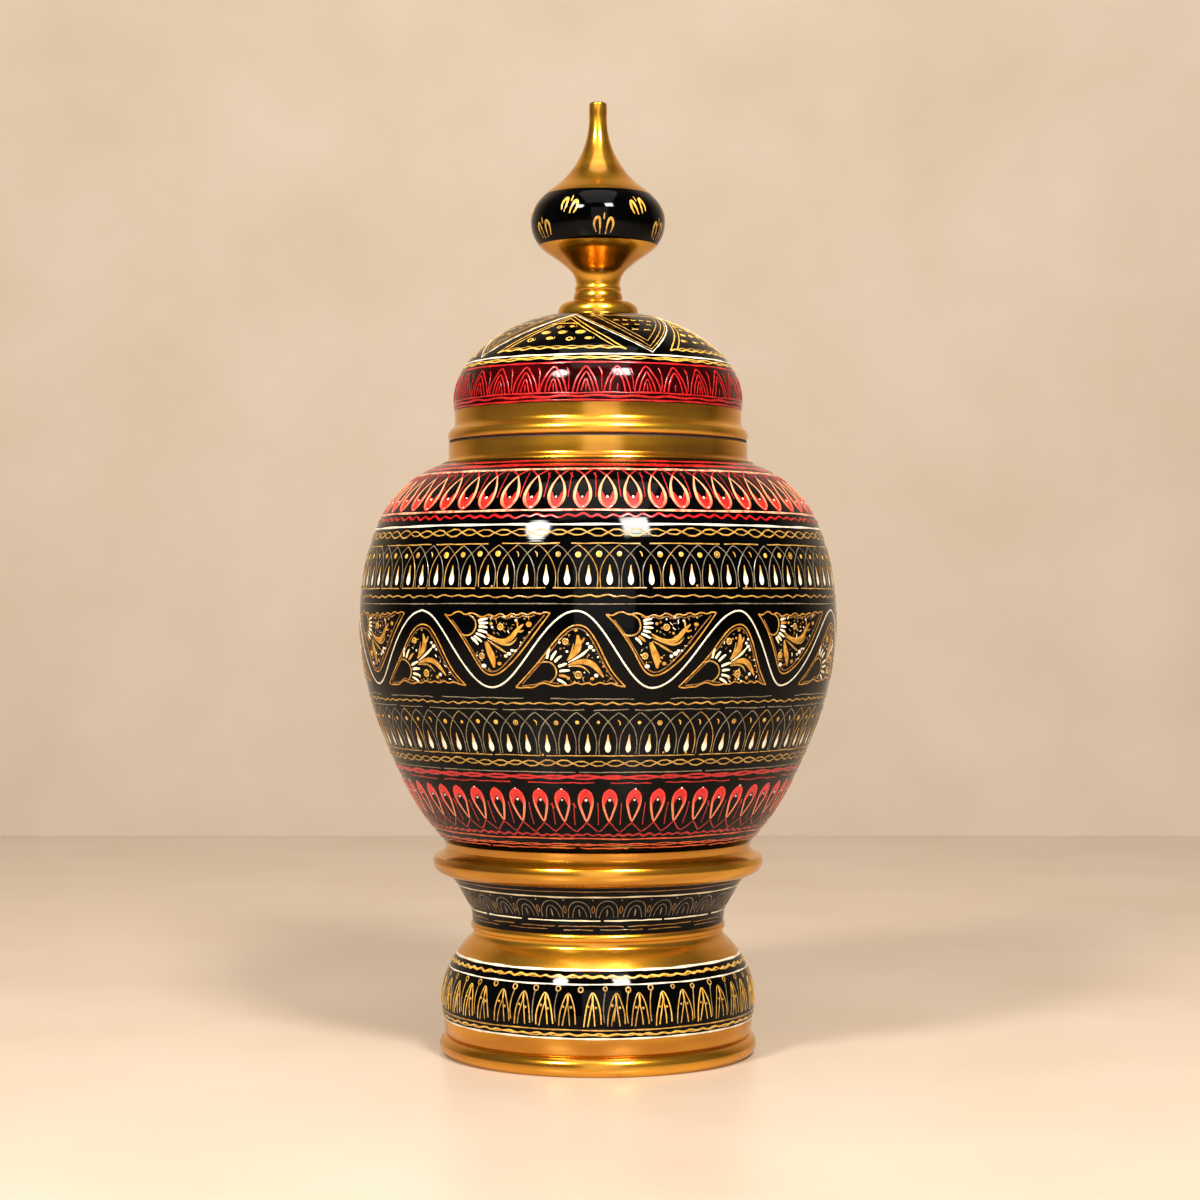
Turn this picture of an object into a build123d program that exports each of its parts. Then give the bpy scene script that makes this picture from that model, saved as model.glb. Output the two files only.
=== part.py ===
from build123d import *
import os

# A lidded jar of turned, lacquered wood. Every piece is turned about the Z axis.
# Millimetres, +Z up, origin at the centre of the ring that the jar stands on.
# Each outline below is half of a section: X is the distance from the axis.

# Driving heights, from the table upwards
total_height = 380.0
base_band_top_z = 14.2
foot_top_z = 52.5
waist_top_z = 71.4
flange_top_z = 81.9
belly_foot_z = 84.6
equator_z = 173.0
shoulder_z = 234.6
mouth_rim_z = 243.4
lid_band_top_z = 255.8
lid_crown_z = 294.8
washer_top_z = 299.7

# Driving radii
belly_r = 95.3
belly_foot_r = 61.4
flange_r = 66.0
waist_r = 50.3
foot_r = 62.6
base_ring_r = 63.3
collar_r = 59.8
lid_r = 57.8
knob_r = 26.9
washer_r = 16.1
spire_r = 3.6
base_band_r = 61.8
flange_top_r = 61.0
lid_band_r = 57.5

# Walls, joints and clearances
belly_wall = 9.0
belly_floor_thick = 12.0
lid_thick = 9.0
glue_gap = 0.1
lid_clearance = 0.5
dowel_r = 15.0
dowel_bottom_z = 20.0
dowel_top_z = 91.0
dowel_end_room = 0.5
base_bore_r = 49.0
base_recess = 3.0
collar_bore_r = 49.5
collar_spigot_r = 54.0
collar_spigot_depth = 7.0
lid_spigot_wall = 6.0
lid_spigot_reach = 11.5
lid_spigot_seat = 4.0
tenon_r = 6.0
tenon_proud = 1.5
wedge_width = 9.0
wedge_length = 8.0
wedge_thick = 2.2
wedge_tip = 1.0

belly_floor_z = belly_foot_z + belly_floor_thick
lid_spigot_r = collar_bore_r - lid_clearance
lid_spigot_inner_r = lid_spigot_r - lid_spigot_wall
lid_ceiling_z = lid_crown_z - lid_thick
tenon_end_z = lid_ceiling_z - tenon_proud


# The plinth ring: a plain band over a half-round moulding, with a shallow recess under the foot
def base_ring():
    heel = 0.7
    heel_r = 61.9
    bulge_z = 3.9
    groove = (60.5, 7.6)
    band_foot = (61.0, 8.2)
    with BuildPart() as part:
        with BuildSketch(Plane.XZ):
            with BuildLine():
                edge = Line((heel_r - heel, 0), (heel_r, heel))
                bulge = ThreePointArc(edge @ 1, (base_ring_r, bulge_z), groove)
                step = Line(bulge @ 1, band_foot)
                band = Line(step @ 1, (base_band_r, base_band_top_z))
                top = Line(band @ 1, (base_bore_r, base_band_top_z))
                bore = Line(top @ 1, (base_bore_r, 0))
                Line(bore @ 1, edge @ 0)
            make_face()
        revolve(axis=Axis.Z)
    return part.part


# The bulging foot: a spigot below for the ring, a rounded shoulder and a small bead under the waist
def foot_block():
    spigot_r = base_bore_r - glue_gap
    widest_z = 21.0
    shoulder_start = (60.1, 33.6)
    crease = (50.6, 46.8)
    hollow_mid = (50.1, 48.0)
    bead_foot = (50.1, 49.4)
    bead_mid = (50.9, 51.0)
    with BuildPart() as part:
        with BuildSketch(Plane.XZ):
            with BuildLine():
                under = Line((0, base_recess), (spigot_r, base_recess))
                spigot = Line(under @ 1, (spigot_r, base_band_top_z))
                ledge = Line(spigot @ 1, (base_band_r, base_band_top_z))
                flank = TangentArc((foot_r, widest_z), ledge @ 1, tangent=(0, -1))
                swell = TangentArc(flank @ 0, shoulder_start, tangent=(0, 1))
                shoulder = TangentArc(swell @ 1, crease, tangent=swell % 1)
                hollow = ThreePointArc(shoulder @ 1, hollow_mid, bead_foot)
                bead = ThreePointArc(hollow @ 1, bead_mid, (waist_r, foot_top_z))
                top = Line(bead @ 1, (dowel_r + glue_gap, foot_top_z))
                hole = Line(top @ 1, (dowel_r + glue_gap, dowel_bottom_z - dowel_end_room))
                end = Line(hole @ 1, (0, dowel_bottom_z - dowel_end_room))
                Line(end @ 1, under @ 0)
            make_face()
        revolve(axis=Axis.Z)
    return part.part


# The waisted stem between the foot and the flange, bored through for the dowel
def waist_block():
    narrow_z = 53.5
    flare_start = (52.0, 60.0)
    top_r = 59.3
    with BuildPart() as part:
        with BuildSketch(Plane.XZ):
            with BuildLine():
                under = Line((dowel_r + glue_gap, foot_top_z), (waist_r, foot_top_z))
                neck = Line(under @ 1, (waist_r, narrow_z))
                cove = TangentArc(neck @ 1, flare_start, tangent=(0, 1))
                flare = TangentArc(cove @ 1, (top_r, waist_top_z), tangent=cove % 1)
                top = Line(flare @ 1, (dowel_r + glue_gap, waist_top_z))
                Line(top @ 1, under @ 0)
            make_face()
        revolve(axis=Axis.Z)
    return part.part


# The sharp-edged flange that the belly sits on
def belly_flange():
    under_r = 60.3
    ovolo_mid = (64.4, 73.2)
    tip_z = 76.4
    upper_edge = (65.4, 78.9)
    hollow_mid = (62.8, 80.0)
    with BuildPart() as part:
        with BuildSketch(Plane.XZ):
            with BuildLine():
                under = Line((dowel_r + glue_gap, waist_top_z), (under_r, waist_top_z))
                ovolo = ThreePointArc(under @ 1, ovolo_mid, (flange_r, tip_z))
                lip = TangentArc(ovolo @ 1, upper_edge, tangent=(0, 1))
                hollow = ThreePointArc(lip @ 1, hollow_mid, (flange_top_r, flange_top_z))
                top = Line(hollow @ 1, (dowel_r + glue_gap, flange_top_z))
                Line(top @ 1, under @ 0)
            make_face()
        revolve(axis=Axis.Z)
    return part.part


# The hollow belly: arcs that run into each other outside, and the same form inside
def belly_shell():
    outer_low = (88.9, 135.1)
    outer_lowest = (76.8, 106.9)
    outer_high = (89.1, 208.1)
    mouth_edge_r = 62.4
    inner_r = belly_r - belly_wall
    inner_low = (78.6, 131.0)
    inner_high = (80.6, 204.6)
    floor_edge = (52.0, belly_floor_z)
    throat_z = shoulder_z - collar_spigot_depth
    with BuildPart() as part:
        with BuildSketch(Plane.XZ):
            with BuildLine():
                under = Line((dowel_r + glue_gap, flange_top_z), (flange_top_r, flange_top_z))
                foot_band = Line(under @ 1, (belly_foot_r, belly_foot_z))
                low = TangentArc((belly_r, equator_z), outer_low, tangent=(0, -1))
                lowest = TangentArc(low @ 1, outer_lowest, tangent=low % 1)
                TangentArc(lowest @ 1, foot_band @ 1, tangent=lowest % 1)
                high = TangentArc(low @ 0, outer_high, tangent=(0, 1))
                shoulder = TangentArc(high @ 1, (mouth_edge_r, shoulder_z), tangent=high % 1)
                seat = Line(shoulder @ 1, (collar_spigot_r, shoulder_z))
                mouth = Line(seat @ 1, (collar_spigot_r, throat_z))
                inside_high = TangentArc((inner_r, equator_z), inner_high, tangent=(0, 1))
                TangentArc(inside_high @ 1, mouth @ 1, tangent=inside_high % 1)
                inside_low = TangentArc(inside_high @ 0, inner_low, tangent=(0, -1))
                TangentArc(inside_low @ 1, floor_edge, tangent=inside_low % 1)
                floor = Line(floor_edge, (0, belly_floor_z))
                axis_line = Line(floor @ 1, (0, dowel_top_z + dowel_end_room))
                end = Line(axis_line @ 1, (dowel_r + glue_gap, dowel_top_z + dowel_end_room))
                Line(end @ 1, under @ 0)
            make_face()
        revolve(axis=Axis.Z)
    return part.part


# The collar round the mouth: its spigot drops into the belly, and the lid rests on its rim
def neck_collar():
    spigot_r = collar_spigot_r - glue_gap
    ledge_r = 62.6
    toe = (62.4, shoulder_z + 0.5)
    flare_top = (59.9, 237.2)
    flare_end = (0.1, -1)
    rim_round = 0.6
    with BuildPart() as part:
        with BuildSketch(Plane.XZ):
            with BuildLine():
                bore = Line((collar_bore_r, mouth_rim_z), (collar_bore_r, shoulder_z - collar_spigot_depth))
                end = Line(bore @ 1, (spigot_r, shoulder_z - collar_spigot_depth))
                spigot = Line(end @ 1, (spigot_r, shoulder_z))
                ledge = Line(spigot @ 1, (ledge_r, shoulder_z))
                lip = Line(ledge @ 1, toe)
                flare = TangentArc(flare_top, lip @ 1, tangent=flare_end)
                side = Line(flare @ 0, (collar_r, mouth_rim_z - rim_round))
                rim = TangentArc(side @ 1, (collar_r - rim_round, mouth_rim_z), tangent=(0, 1))
                Line(rim @ 1, bore @ 0)
            make_face()
        revolve(axis=Axis.Z)
    return part.part


# The dowel that ties foot, waist and flange to the floor of the belly
def pedestal_dowel():
    chamfer_size = 1.5
    length = dowel_top_z - dowel_bottom_z
    rod = Pos(0, 0, dowel_bottom_z + length / 2) * Cylinder(dowel_r, length)
    return chamfer(rod.edges().filter_by(GeomType.CIRCLE), chamfer_size)


# The lid's edge: a plain band over a rounded bead, bored for the locating ring
def lid_rim_ring():
    bead_bottom_r = 59.0
    bead = (60.1, 245.9)
    cyma_mid = (58.8, 248.5)
    band_bottom = (57.4, 251.2)
    bore_r = lid_spigot_r + glue_gap
    with BuildPart() as part:
        with BuildSketch(Plane.XZ):
            with BuildLine():
                under = Line((bore_r, mouth_rim_z), (bead_bottom_r, mouth_rim_z))
                roll = TangentArc(bead, under @ 1, tangent=(0, -1))
                swell = TangentArc(roll @ 0, cyma_mid, tangent=(0, 1))
                hollow = TangentArc(swell @ 1, band_bottom, tangent=swell % 1)
                band = Line(hollow @ 1, (lid_band_r, lid_band_top_z))
                top = Line(band @ 1, (bore_r, lid_band_top_z))
                Line(top @ 1, under @ 0)
            make_face()
        revolve(axis=Axis.Z)
    return part.part


# The locating ring under the lid: it drops into the collar and keeps the lid centred
def lid_spigot_ring():
    lead_in = 1.2
    bottom_z = mouth_rim_z - lid_spigot_reach
    top_z = lid_band_top_z + lid_spigot_seat
    with BuildPart() as part:
        with BuildSketch(Plane.XZ):
            with BuildLine():
                Polyline(
                    (lid_spigot_inner_r, bottom_z),
                    (lid_spigot_r - lead_in, bottom_z),
                    (lid_spigot_r, bottom_z + lead_in),
                    (lid_spigot_r, top_z),
                    (lid_spigot_inner_r, top_z),
                    close=True,
                )
            make_face()
        revolve(axis=Axis.Z)
    return part.part


# The hollow dome of the lid, with a rebate for the locating ring and a hole for the finial's tenon
def lid_dome():
    widest_z = 259.4
    crown_start = (50.5, 277.5)
    seat_r = lid_spigot_r + glue_gap
    seat_z = lid_band_top_z + lid_spigot_seat
    inner_foot_r = 47.3
    inner_start = (42.0, 273.6)
    hole_r = tenon_r + glue_gap
    with BuildPart() as part:
        with BuildSketch(Plane.XZ):
            with BuildLine():
                under = Line((seat_r, lid_band_top_z), (lid_band_r, lid_band_top_z))
                side = TangentArc((lid_r, widest_z), under @ 1, tangent=(0, -1))
                swell = TangentArc(side @ 0, crown_start, tangent=(0, 1))
                crown = TangentArc(swell @ 1, (washer_r, lid_crown_z), tangent=swell % 1)
                top = Line(crown @ 1, (hole_r, lid_crown_z))
                hole = Line(top @ 1, (hole_r, lid_ceiling_z))
                wall = Line((seat_r, seat_z), (inner_foot_r, seat_z))
                inner_swell = TangentArc(wall @ 1, inner_start, tangent=(0, 1))
                TangentArc(inner_swell @ 1, hole @ 1, tangent=inner_swell % 1)
                Line(wall @ 0, under @ 0)
            make_face()
        revolve(axis=Axis.Z)
    return part.part


# The rounded washer between the dome and the finial
def finial_washer():
    hole_r = tenon_r + glue_gap
    edge_height = 0.8
    top_r = 12.6
    with BuildPart() as part:
        with BuildSketch(Plane.XZ):
            with BuildLine():
                under = Line((hole_r, lid_crown_z), (washer_r, lid_crown_z))
                edge = Line(under @ 1, (washer_r, lid_crown_z + edge_height))
                ovolo = TangentArc(edge @ 1, (top_r, washer_top_z), tangent=(0, 1))
                top = Line(ovolo @ 1, (hole_r, washer_top_z))
                Line(top @ 1, under @ 0)
            make_face()
        revolve(axis=Axis.Z)
    return part.part


# The finial in one turning: tenon, two neck beads, cup, knob and drawn-out spire
def finial():
    shoulder_r = 9.5
    lower_bead_mid = (9.8, 301.9)
    groove = (9.0, 304.0)
    upper_bead_mid = (9.3, 305.2)
    neck = (8.7, 306.6)
    knob_z = 331.9
    knob_low = (19.9, 319.3)
    cup_mid = (12.0, 313.5)
    knob_high = (24.1, 339.9)
    spire_foot = (18.5, 345.2)
    spire_mid = (10.0, 353.7)
    spire_straight_z = 376.0
    tip_round = 1.1
    with BuildPart() as part:
        with BuildSketch(Plane.XZ):
            with BuildLine():
                end = Line((0, tenon_end_z), (tenon_r, tenon_end_z))
                tenon = Line(end @ 1, (tenon_r, washer_top_z))
                shoulder = Line(tenon @ 1, (shoulder_r, washer_top_z))
                lower_bead = ThreePointArc(shoulder @ 1, lower_bead_mid, groove)
                upper_bead = ThreePointArc(lower_bead @ 1, upper_bead_mid, neck)
                under_knob = TangentArc((knob_r, knob_z), knob_low, tangent=(0, -1))
                cup = TangentArc(under_knob @ 1, cup_mid, tangent=under_knob % 1)
                TangentArc(cup @ 1, upper_bead @ 1, tangent=cup % 1)
                over_knob = TangentArc(under_knob @ 0, knob_high, tangent=(0, 1))
                turn_in = TangentArc(over_knob @ 1, spire_foot, tangent=over_knob % 1)
                sweep = TangentArc(turn_in @ 1, spire_mid, tangent=turn_in % 1)
                draw_out = TangentArc(sweep @ 1, (spire_r, spire_straight_z), tangent=sweep % 1)
                stem = Line(draw_out @ 1, (spire_r, total_height - tip_round))
                tip = TangentArc(stem @ 1, (spire_r - tip_round, total_height), tangent=(0, 1))
                top = Line(tip @ 1, (0, total_height))
                Line(top @ 1, end @ 0)
            make_face()
        revolve(axis=Axis.Z)
    return part.part - finial_wedge()


# The wedge that spreads the tenon's end inside the lid
def finial_wedge():
    with BuildPart() as part:
        with BuildSketch(Plane.XY.offset(tenon_end_z)):
            Rectangle(wedge_width, wedge_thick)
        with BuildSketch(Plane.XY.offset(tenon_end_z + wedge_length)):
            Rectangle(wedge_width, wedge_tip)
        loft()
    return part.part


pieces = {
    "base_ring": base_ring,
    "foot_block": foot_block,
    "waist_block": waist_block,
    "belly_flange": belly_flange,
    "belly_shell": belly_shell,
    "neck_collar": neck_collar,
    "pedestal_dowel": pedestal_dowel,
    "lid_rim_ring": lid_rim_ring,
    "lid_spigot_ring": lid_spigot_ring,
    "lid_dome": lid_dome,
    "finial_washer": finial_washer,
    "finial": finial,
    "finial_wedge": finial_wedge,
}

os.makedirs("parts", exist_ok=True)
for name, make in pieces.items():
    export_step(make(), os.path.join("parts", name + ".step"))
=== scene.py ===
import bpy
import math
import random
import numpy as np
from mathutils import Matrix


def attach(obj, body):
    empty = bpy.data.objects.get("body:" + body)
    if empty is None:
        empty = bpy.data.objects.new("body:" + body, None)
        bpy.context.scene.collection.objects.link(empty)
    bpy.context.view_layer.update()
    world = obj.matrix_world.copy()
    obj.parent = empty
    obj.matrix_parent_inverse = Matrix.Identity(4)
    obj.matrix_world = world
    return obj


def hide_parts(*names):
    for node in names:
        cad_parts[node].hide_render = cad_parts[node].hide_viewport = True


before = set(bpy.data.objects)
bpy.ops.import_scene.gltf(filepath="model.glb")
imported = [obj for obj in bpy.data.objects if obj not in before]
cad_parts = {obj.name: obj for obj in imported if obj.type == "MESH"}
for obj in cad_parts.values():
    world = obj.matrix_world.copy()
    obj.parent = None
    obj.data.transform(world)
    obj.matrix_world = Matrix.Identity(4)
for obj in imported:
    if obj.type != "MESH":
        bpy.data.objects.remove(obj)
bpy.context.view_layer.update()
print("frame loaded")

mm = 0.001
fullTurn = 2 * math.pi
hand = random.Random(11)  # the unevenness of hand work, the same each run


def unsteady(amount):
    return hand.uniform(-amount, amount)


# Outlines of the turned pieces, in millimetres: (radius, height)
def arcTo(path, heading, end, step=0.9):  # an arc that leaves the path's end along heading
    start = np.array(path[-1], float)
    way = np.array(end, float) - start
    heading = np.array(heading, float) / np.linalg.norm(heading)
    side = np.array([-heading[1], heading[0]])
    radius = (way @ way) / (2 * (way @ side))
    centre = start + side * radius
    first = math.atan2(start[1] - centre[1], start[0] - centre[0])
    last = math.atan2(end[1] - centre[1], end[0] - centre[0])
    swing = (last - first) % fullTurn if radius > 0 else -((first - last) % fullTurn)
    count = max(3, math.ceil(abs(radius * swing) / step))
    for i in range(1, count + 1):
        a = first + swing * i / count
        path.append((centre[0] + abs(radius) * math.cos(a), centre[1] + abs(radius) * math.sin(a)))
    a = first + swing
    sign = 1 if radius > 0 else -1
    return (-math.sin(a) * sign, math.cos(a) * sign)


def arcVia(path, middle, end, step=0.5):  # an arc through three points
    (ax, ay), (bx, by), (cx, cy) = path[-1], middle, end
    d = 2 * (ax * (by - cy) + bx * (cy - ay) + cx * (ay - by))
    ux = ((ax**2 + ay**2) * (by - cy) + (bx**2 + by**2) * (cy - ay) + (cx**2 + cy**2) * (ay - by)) / d
    uy = ((ax**2 + ay**2) * (cx - bx) + (bx**2 + by**2) * (ax - cx) + (cx**2 + cy**2) * (bx - ax)) / d
    turn = 1 if (bx - ax) * (cy - ay) - (by - ay) * (cx - ax) > 0 else -1
    arcTo(path, (-(ay - uy) * turn, (ax - ux) * turn), end, step)


def upAndDown(start, upper, lower):  # arcs both ways from the widest point, given back from the bottom up
    halves = []
    for heading, points in (((0, 1), upper), ((0, -1), lower)):
        half = [start]
        for point in points:
            heading = arcTo(half, heading, point)
        halves.append(half)
    up, down = halves
    return down[::-1] + up[1:]


def cutAt(path, height):  # a point exactly at that height, so that a colour can end there
    for i, ((r0, z0), (r1, z1)) in enumerate(zip(path, path[1:])):
        if min(z0, z1) < height < max(z0, z1):
            t = (height - z0) / (z1 - z0)
            path.insert(i + 1, (r0 + (r1 - r0) * t, height))
            return


# Node helpers
def newMaterial(name):
    material = bpy.data.materials.new(name)
    material.use_nodes = True
    return material, material.node_tree, material.node_tree.nodes["Principled BSDF"]


def connect(tree, node, sources):  # each source is a socket to link or a value to set
    for name, source in sources.items():
        if isinstance(source, bpy.types.NodeSocket):
            tree.links.new(source, node.inputs[name])
        else:
            node.inputs[name].default_value = source


def addNode(tree, kind, sources=None, **values):
    node = tree.nodes.new(kind)
    for key, value in values.items():
        setattr(node, key, value)
    connect(tree, node, sources or {})
    return node


def mixColour(tree, factor, first, second):
    return addNode(tree, "ShaderNodeMix", {0: factor, 6: first, 7: second}, data_type="RGBA").outputs[2]


def remap(tree, source, low, high, toLow=0.0, toHigh=1.0):
    sources = {"Value": source, "From Min": low, "From Max": high, "To Min": toLow, "To Max": toHigh}
    return addNode(tree, "ShaderNodeMapRange", sources).outputs[0]


def heightOf(tree, place):
    return addNode(tree, "ShaderNodeSeparateXYZ", {0: place}).outputs[2]


def bumpFrom(tree, shader, height, strength, distance):
    bump = addNode(tree, "ShaderNodeBump", {"Height": height, "Strength": strength, "Distance": distance})
    tree.links.new(bump.outputs[0], shader.inputs["Normal"])


def colour(red, green, blue):  # a display colour, 0 to 255, as the shader wants it
    return tuple(((c / 255) ** 2.2) for c in (red, green, blue)) + (1,)


# Marks that every turned and lacquered surface shares: rings round the axis, streaks along them and clouds
def makeTurnedMarks():
    group = bpy.data.node_groups.new("turnedMarks", "ShaderNodeTree")
    group.interface.new_socket("Place", in_out="INPUT", socket_type="NodeSocketVector")
    for name in ("Rings per m", "Streak length", "Cloud size"):
        group.interface.new_socket(name, in_out="INPUT", socket_type="NodeSocketFloat")
    for name in ("Rings", "Streaks", "Clouds"):
        group.interface.new_socket(name, in_out="OUTPUT", socket_type="NodeSocketFloat")
    given = group.nodes.new("NodeGroupInput").outputs
    place = given["Place"]
    sources = {0: heightOf(group, place), 1: given["Rings per m"]}
    height = addNode(group, "ShaderNodeMath", sources, operation="MULTIPLY").outputs[0]
    rings = addNode(group, "ShaderNodeTexNoise", {"W": height, "Detail": 3.0}, noise_dimensions="1D")
    sources = {0: place, 3: given["Streak length"]}
    along = addNode(group, "ShaderNodeVectorMath", sources, operation="SCALE").outputs[0]
    upward = addNode(group, "ShaderNodeCombineXYZ", {2: height}).outputs[0]
    both = addNode(group, "ShaderNodeVectorMath", {0: along, 1: upward}, operation="ADD").outputs[0]
    streaks = addNode(group, "ShaderNodeTexNoise", {"Vector": both, "Scale": 1.0, "Detail": 4.0})
    sources = {"Vector": place, "Scale": given["Cloud size"], "Detail": 5.0}
    clouds = addNode(group, "ShaderNodeTexNoise", sources)
    marks = {"Rings": rings.outputs[0], "Streaks": streaks.outputs[0], "Clouds": clouds.outputs[0]}
    connect(group, group.nodes.new("NodeGroupOutput"), marks)
    return group


turnedMarks = makeTurnedMarks()


def marksIn(tree, rings, streaks, clouds):
    place = addNode(tree, "ShaderNodeTexCoord").outputs["Object"]
    sources = {"Place": place, "Rings per m": rings, "Streak length": streaks, "Cloud size": clouds}
    return place, addNode(tree, "ShaderNodeGroup", sources, node_tree=turnedMarks).outputs


# Black and dark red lac: mirror glossy, with soft waves left by the lathe and clouds of polishing haze
glossFrom = (0.3, 0.75)  # the part of the streaks that the gloss of all lacs follows
lacs = {
    "blackLac": {"name": "black_lac", "deep": colour(4, 4, 5), "haze": colour(10, 10, 11),
                 "marks": (260.0, 9.0, 22.0), "clouds": (0.42, 0.72), "sheen": (0.03, 0.08), "wave": 0.03,
                 "depth": 0.4 * mm, "ior": 1.21},
    "redLac": {"name": "dark_red_lac", "deep": colour(22, 3, 5), "haze": colour(60, 6, 10),
               "marks": (300.0, 10.0, 40.0), "clouds": (0.35, 0.7), "sheen": (0.04, 0.1), "wave": 0.03,
               "depth": 0.4 * mm, "ior": 1.24},
}


def makeLac(lac):
    material, tree, shader = newMaterial(lac["name"])
    marks = marksIn(tree, *lac["marks"])[1]
    cloud = remap(tree, marks["Clouds"], *lac["clouds"])
    connect(tree, shader, {
        "Base Color": mixColour(tree, cloud, lac["deep"], lac["haze"]),
        "Roughness": remap(tree, marks["Streaks"], *glossFrom, *lac["sheen"]),
        "IOR": lac["ior"]})
    bumpFrom(tree, shader, marks["Rings"], lac["wave"], lac["depth"])
    return material


# Gold lac: brass powder in amber lac, smooth and satin, a little browner in soft clouds
goldLac = {"amber": colour(184, 122, 25), "bright": colour(226, 164, 46), "brown": colour(140, 82, 13),
           "marks": (110.0, 9.0, 30.0), "streaks": (0.38, 0.64), "clouds": (0.52, 0.82, 0.0, 0.6),
           "edge": (1.0, 0.73, 0.28, 1), "sheen": (0.20, 0.27), "lines": 0.02, "metal": 0.94, "coat": 0.7,
           "coatSheen": 0.12, "depth": 0.12 * mm}


def makeGoldLac():
    material, tree, shader = newMaterial("gold_lac")
    marks = marksIn(tree, *goldLac["marks"])[1]
    streak = remap(tree, marks["Streaks"], *goldLac["streaks"])
    cloud = remap(tree, marks["Clouds"], *goldLac["clouds"])
    warm = mixColour(tree, streak, goldLac["amber"], goldLac["bright"])
    connect(tree, shader, {
        "Base Color": mixColour(tree, cloud, warm, goldLac["brown"]),
        "Metallic": goldLac["metal"],
        "Specular Tint": goldLac["edge"],
        "Roughness": remap(tree, marks["Streaks"], *glossFrom, *goldLac["sheen"]),
        "Coat Weight": goldLac["coat"],
        "Coat Roughness": goldLac["coatSheen"]})
    bumpFrom(tree, shader, marks["Rings"], goldLac["lines"], goldLac["depth"])
    return material


# Bare turned wood inside, with growth bands across the x axis and rings round the lathe's axis
bareWood = {"pale": colour(206, 164, 112), "dark": colour(150, 103, 60), "marks": (700.0, 25.0, 18.0),
            "squash": (1.0, 0.12, 0.12), "grain": 75.0, "wander": 11.0, "grainShare": 0.42, "fineShare": 0.35,
            "grainFrom": (0.1, 0.9), "fineFrom": (0.4, 0.7), "sheenFrom": (0.3, 0.7), "sheen": (0.55, 0.75),
            "lines": 0.3, "depth": 0.2 * mm}


def makeBareWood():
    w = bareWood
    material, tree, shader = newMaterial("bare_wood")
    place, marks = marksIn(tree, *w["marks"])
    squash = addNode(tree, "ShaderNodeMapping", {"Vector": place, "Scale": w["squash"]}).outputs[0]
    sources = {"Vector": squash, "Scale": w["grain"], "Distortion": w["wander"], "Detail": 4.0,
               "Detail Scale": 2.0}
    wood = addNode(tree, "ShaderNodeTexWave", sources, wave_type="BANDS", bands_direction="X")
    grain = remap(tree, wood.outputs["Fac"], *w["grainFrom"], 0.0, w["grainShare"])
    fine = remap(tree, marks["Streaks"], *w["fineFrom"], 0.0, w["fineShare"])
    tone = mixColour(tree, grain, w["pale"], w["dark"])
    connect(tree, shader, {
        "Base Color": mixColour(tree, fine, tone, w["dark"]),
        "Roughness": remap(tree, marks["Clouds"], *w["sheenFrom"], *w["sheen"])})
    bumpFrom(tree, shader, marks["Rings"], w["lines"], w["depth"])
    return material


# Coloured lines: opaque lac with paler and darker touches. A colour may run into the other with the height
enamel = {"marks": (500.0, 120.0, 420.0), "touches": (0.4, 0.66), "shake": 1.2, "sheen": (0.16, 0.32),
          "sheenFrom": (0.3, 0.7)}


def makeEnamel(name, main, touch, heights=None, sheen=enamel["sheen"]):
    material, tree, shader = newMaterial(name)
    place, marks = marksIn(tree, *enamel["marks"])
    if heights:
        shake = remap(tree, marks["Clouds"], 0.0, 1.0, -enamel["shake"] * mm, enamel["shake"] * mm)
        sources = {0: heightOf(tree, place), 1: shake}
        level = addNode(tree, "ShaderNodeMath", sources, operation="ADD").outputs[0]
        share = remap(tree, level, heights[0] * mm, heights[1] * mm)
    else:
        share = remap(tree, marks["Clouds"], *enamel["touches"])
    connect(tree, shader, {
        "Base Color": mixColour(tree, share, colour(*main), colour(*touch)),
        "Roughness": remap(tree, marks["Streaks"], *enamel["sheenFrom"], *sheen)})
    return material


# Each line's material, tone and touches, and for some the heights between which one runs to the other
dropTones = (236, 226, 200), (208, 146, 52)
lineTones = {
    "goldLine": ("gold_line", (188, 144, 68), (138, 98, 40)),
    "amberLine": ("amber_line", (162, 106, 34), (204, 150, 64)),
    "brightGold": ("bright_gold_line", (222, 177, 80), (180, 124, 42)),
    "dimLine": ("dim_tan_line", (128, 116, 94), (88, 74, 54)),
    "brownLine": ("brown_gold_line", (142, 98, 44), (98, 66, 30)),
    "whiteLine": ("white_line", (232, 224, 206), (206, 190, 160)),
    "creamLine": ("cream_line", (240, 220, 172), (250, 242, 220)),
    "redLine": ("red_line", (186, 26, 26), (128, 12, 18)),
    "brightRed": ("bright_red_line", (192, 30, 28), (146, 18, 22)),
    "redFill": ("red_fill", (214, 38, 32), (190, 26, 26)),
    "salmonLine": ("salmon_line", (248, 172, 134), (228, 86, 66)),
    "orangeLine": ("orange_line", (222, 100, 52), (176, 58, 34)),
    "upperDrop": ("upper_drop", *dropTones, (188.9, 192.2)),
    "lowerDrop": ("lower_drop", *dropTones, (126.6, 129.8)),
    "shoulderLoop": ("shoulder_loop", (226, 66, 50), (238, 152, 108), (215.0, 219.5)),
    "skirtLoop": ("skirt_loop", (242, 132, 92), (226, 46, 40), (102.5, 107.5)),
    # seamShade is painted shade: the shadow of the gap between lid and collar, laid on as dark brown
    "seamShade": ("seam_shade", (50, 26, 8), (30, 15, 5), None, (0.5, 0.7)),
}
looks = {finish: makeLac(lac) for finish, lac in lacs.items()}
looks["goldLac"] = makeGoldLac()
looks["bareWood"] = makeBareWood()
for finish, tones in lineTones.items():
    looks[finish] = makeEnamel(*tones)
print("finishes mixed")

# Turned pieces: an outline spun about the axis
spinning = {"steps": 240, "onAxis": 0.01 * mm, "weld": 0.001 * mm, "sharp": math.radians(35)}


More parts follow.
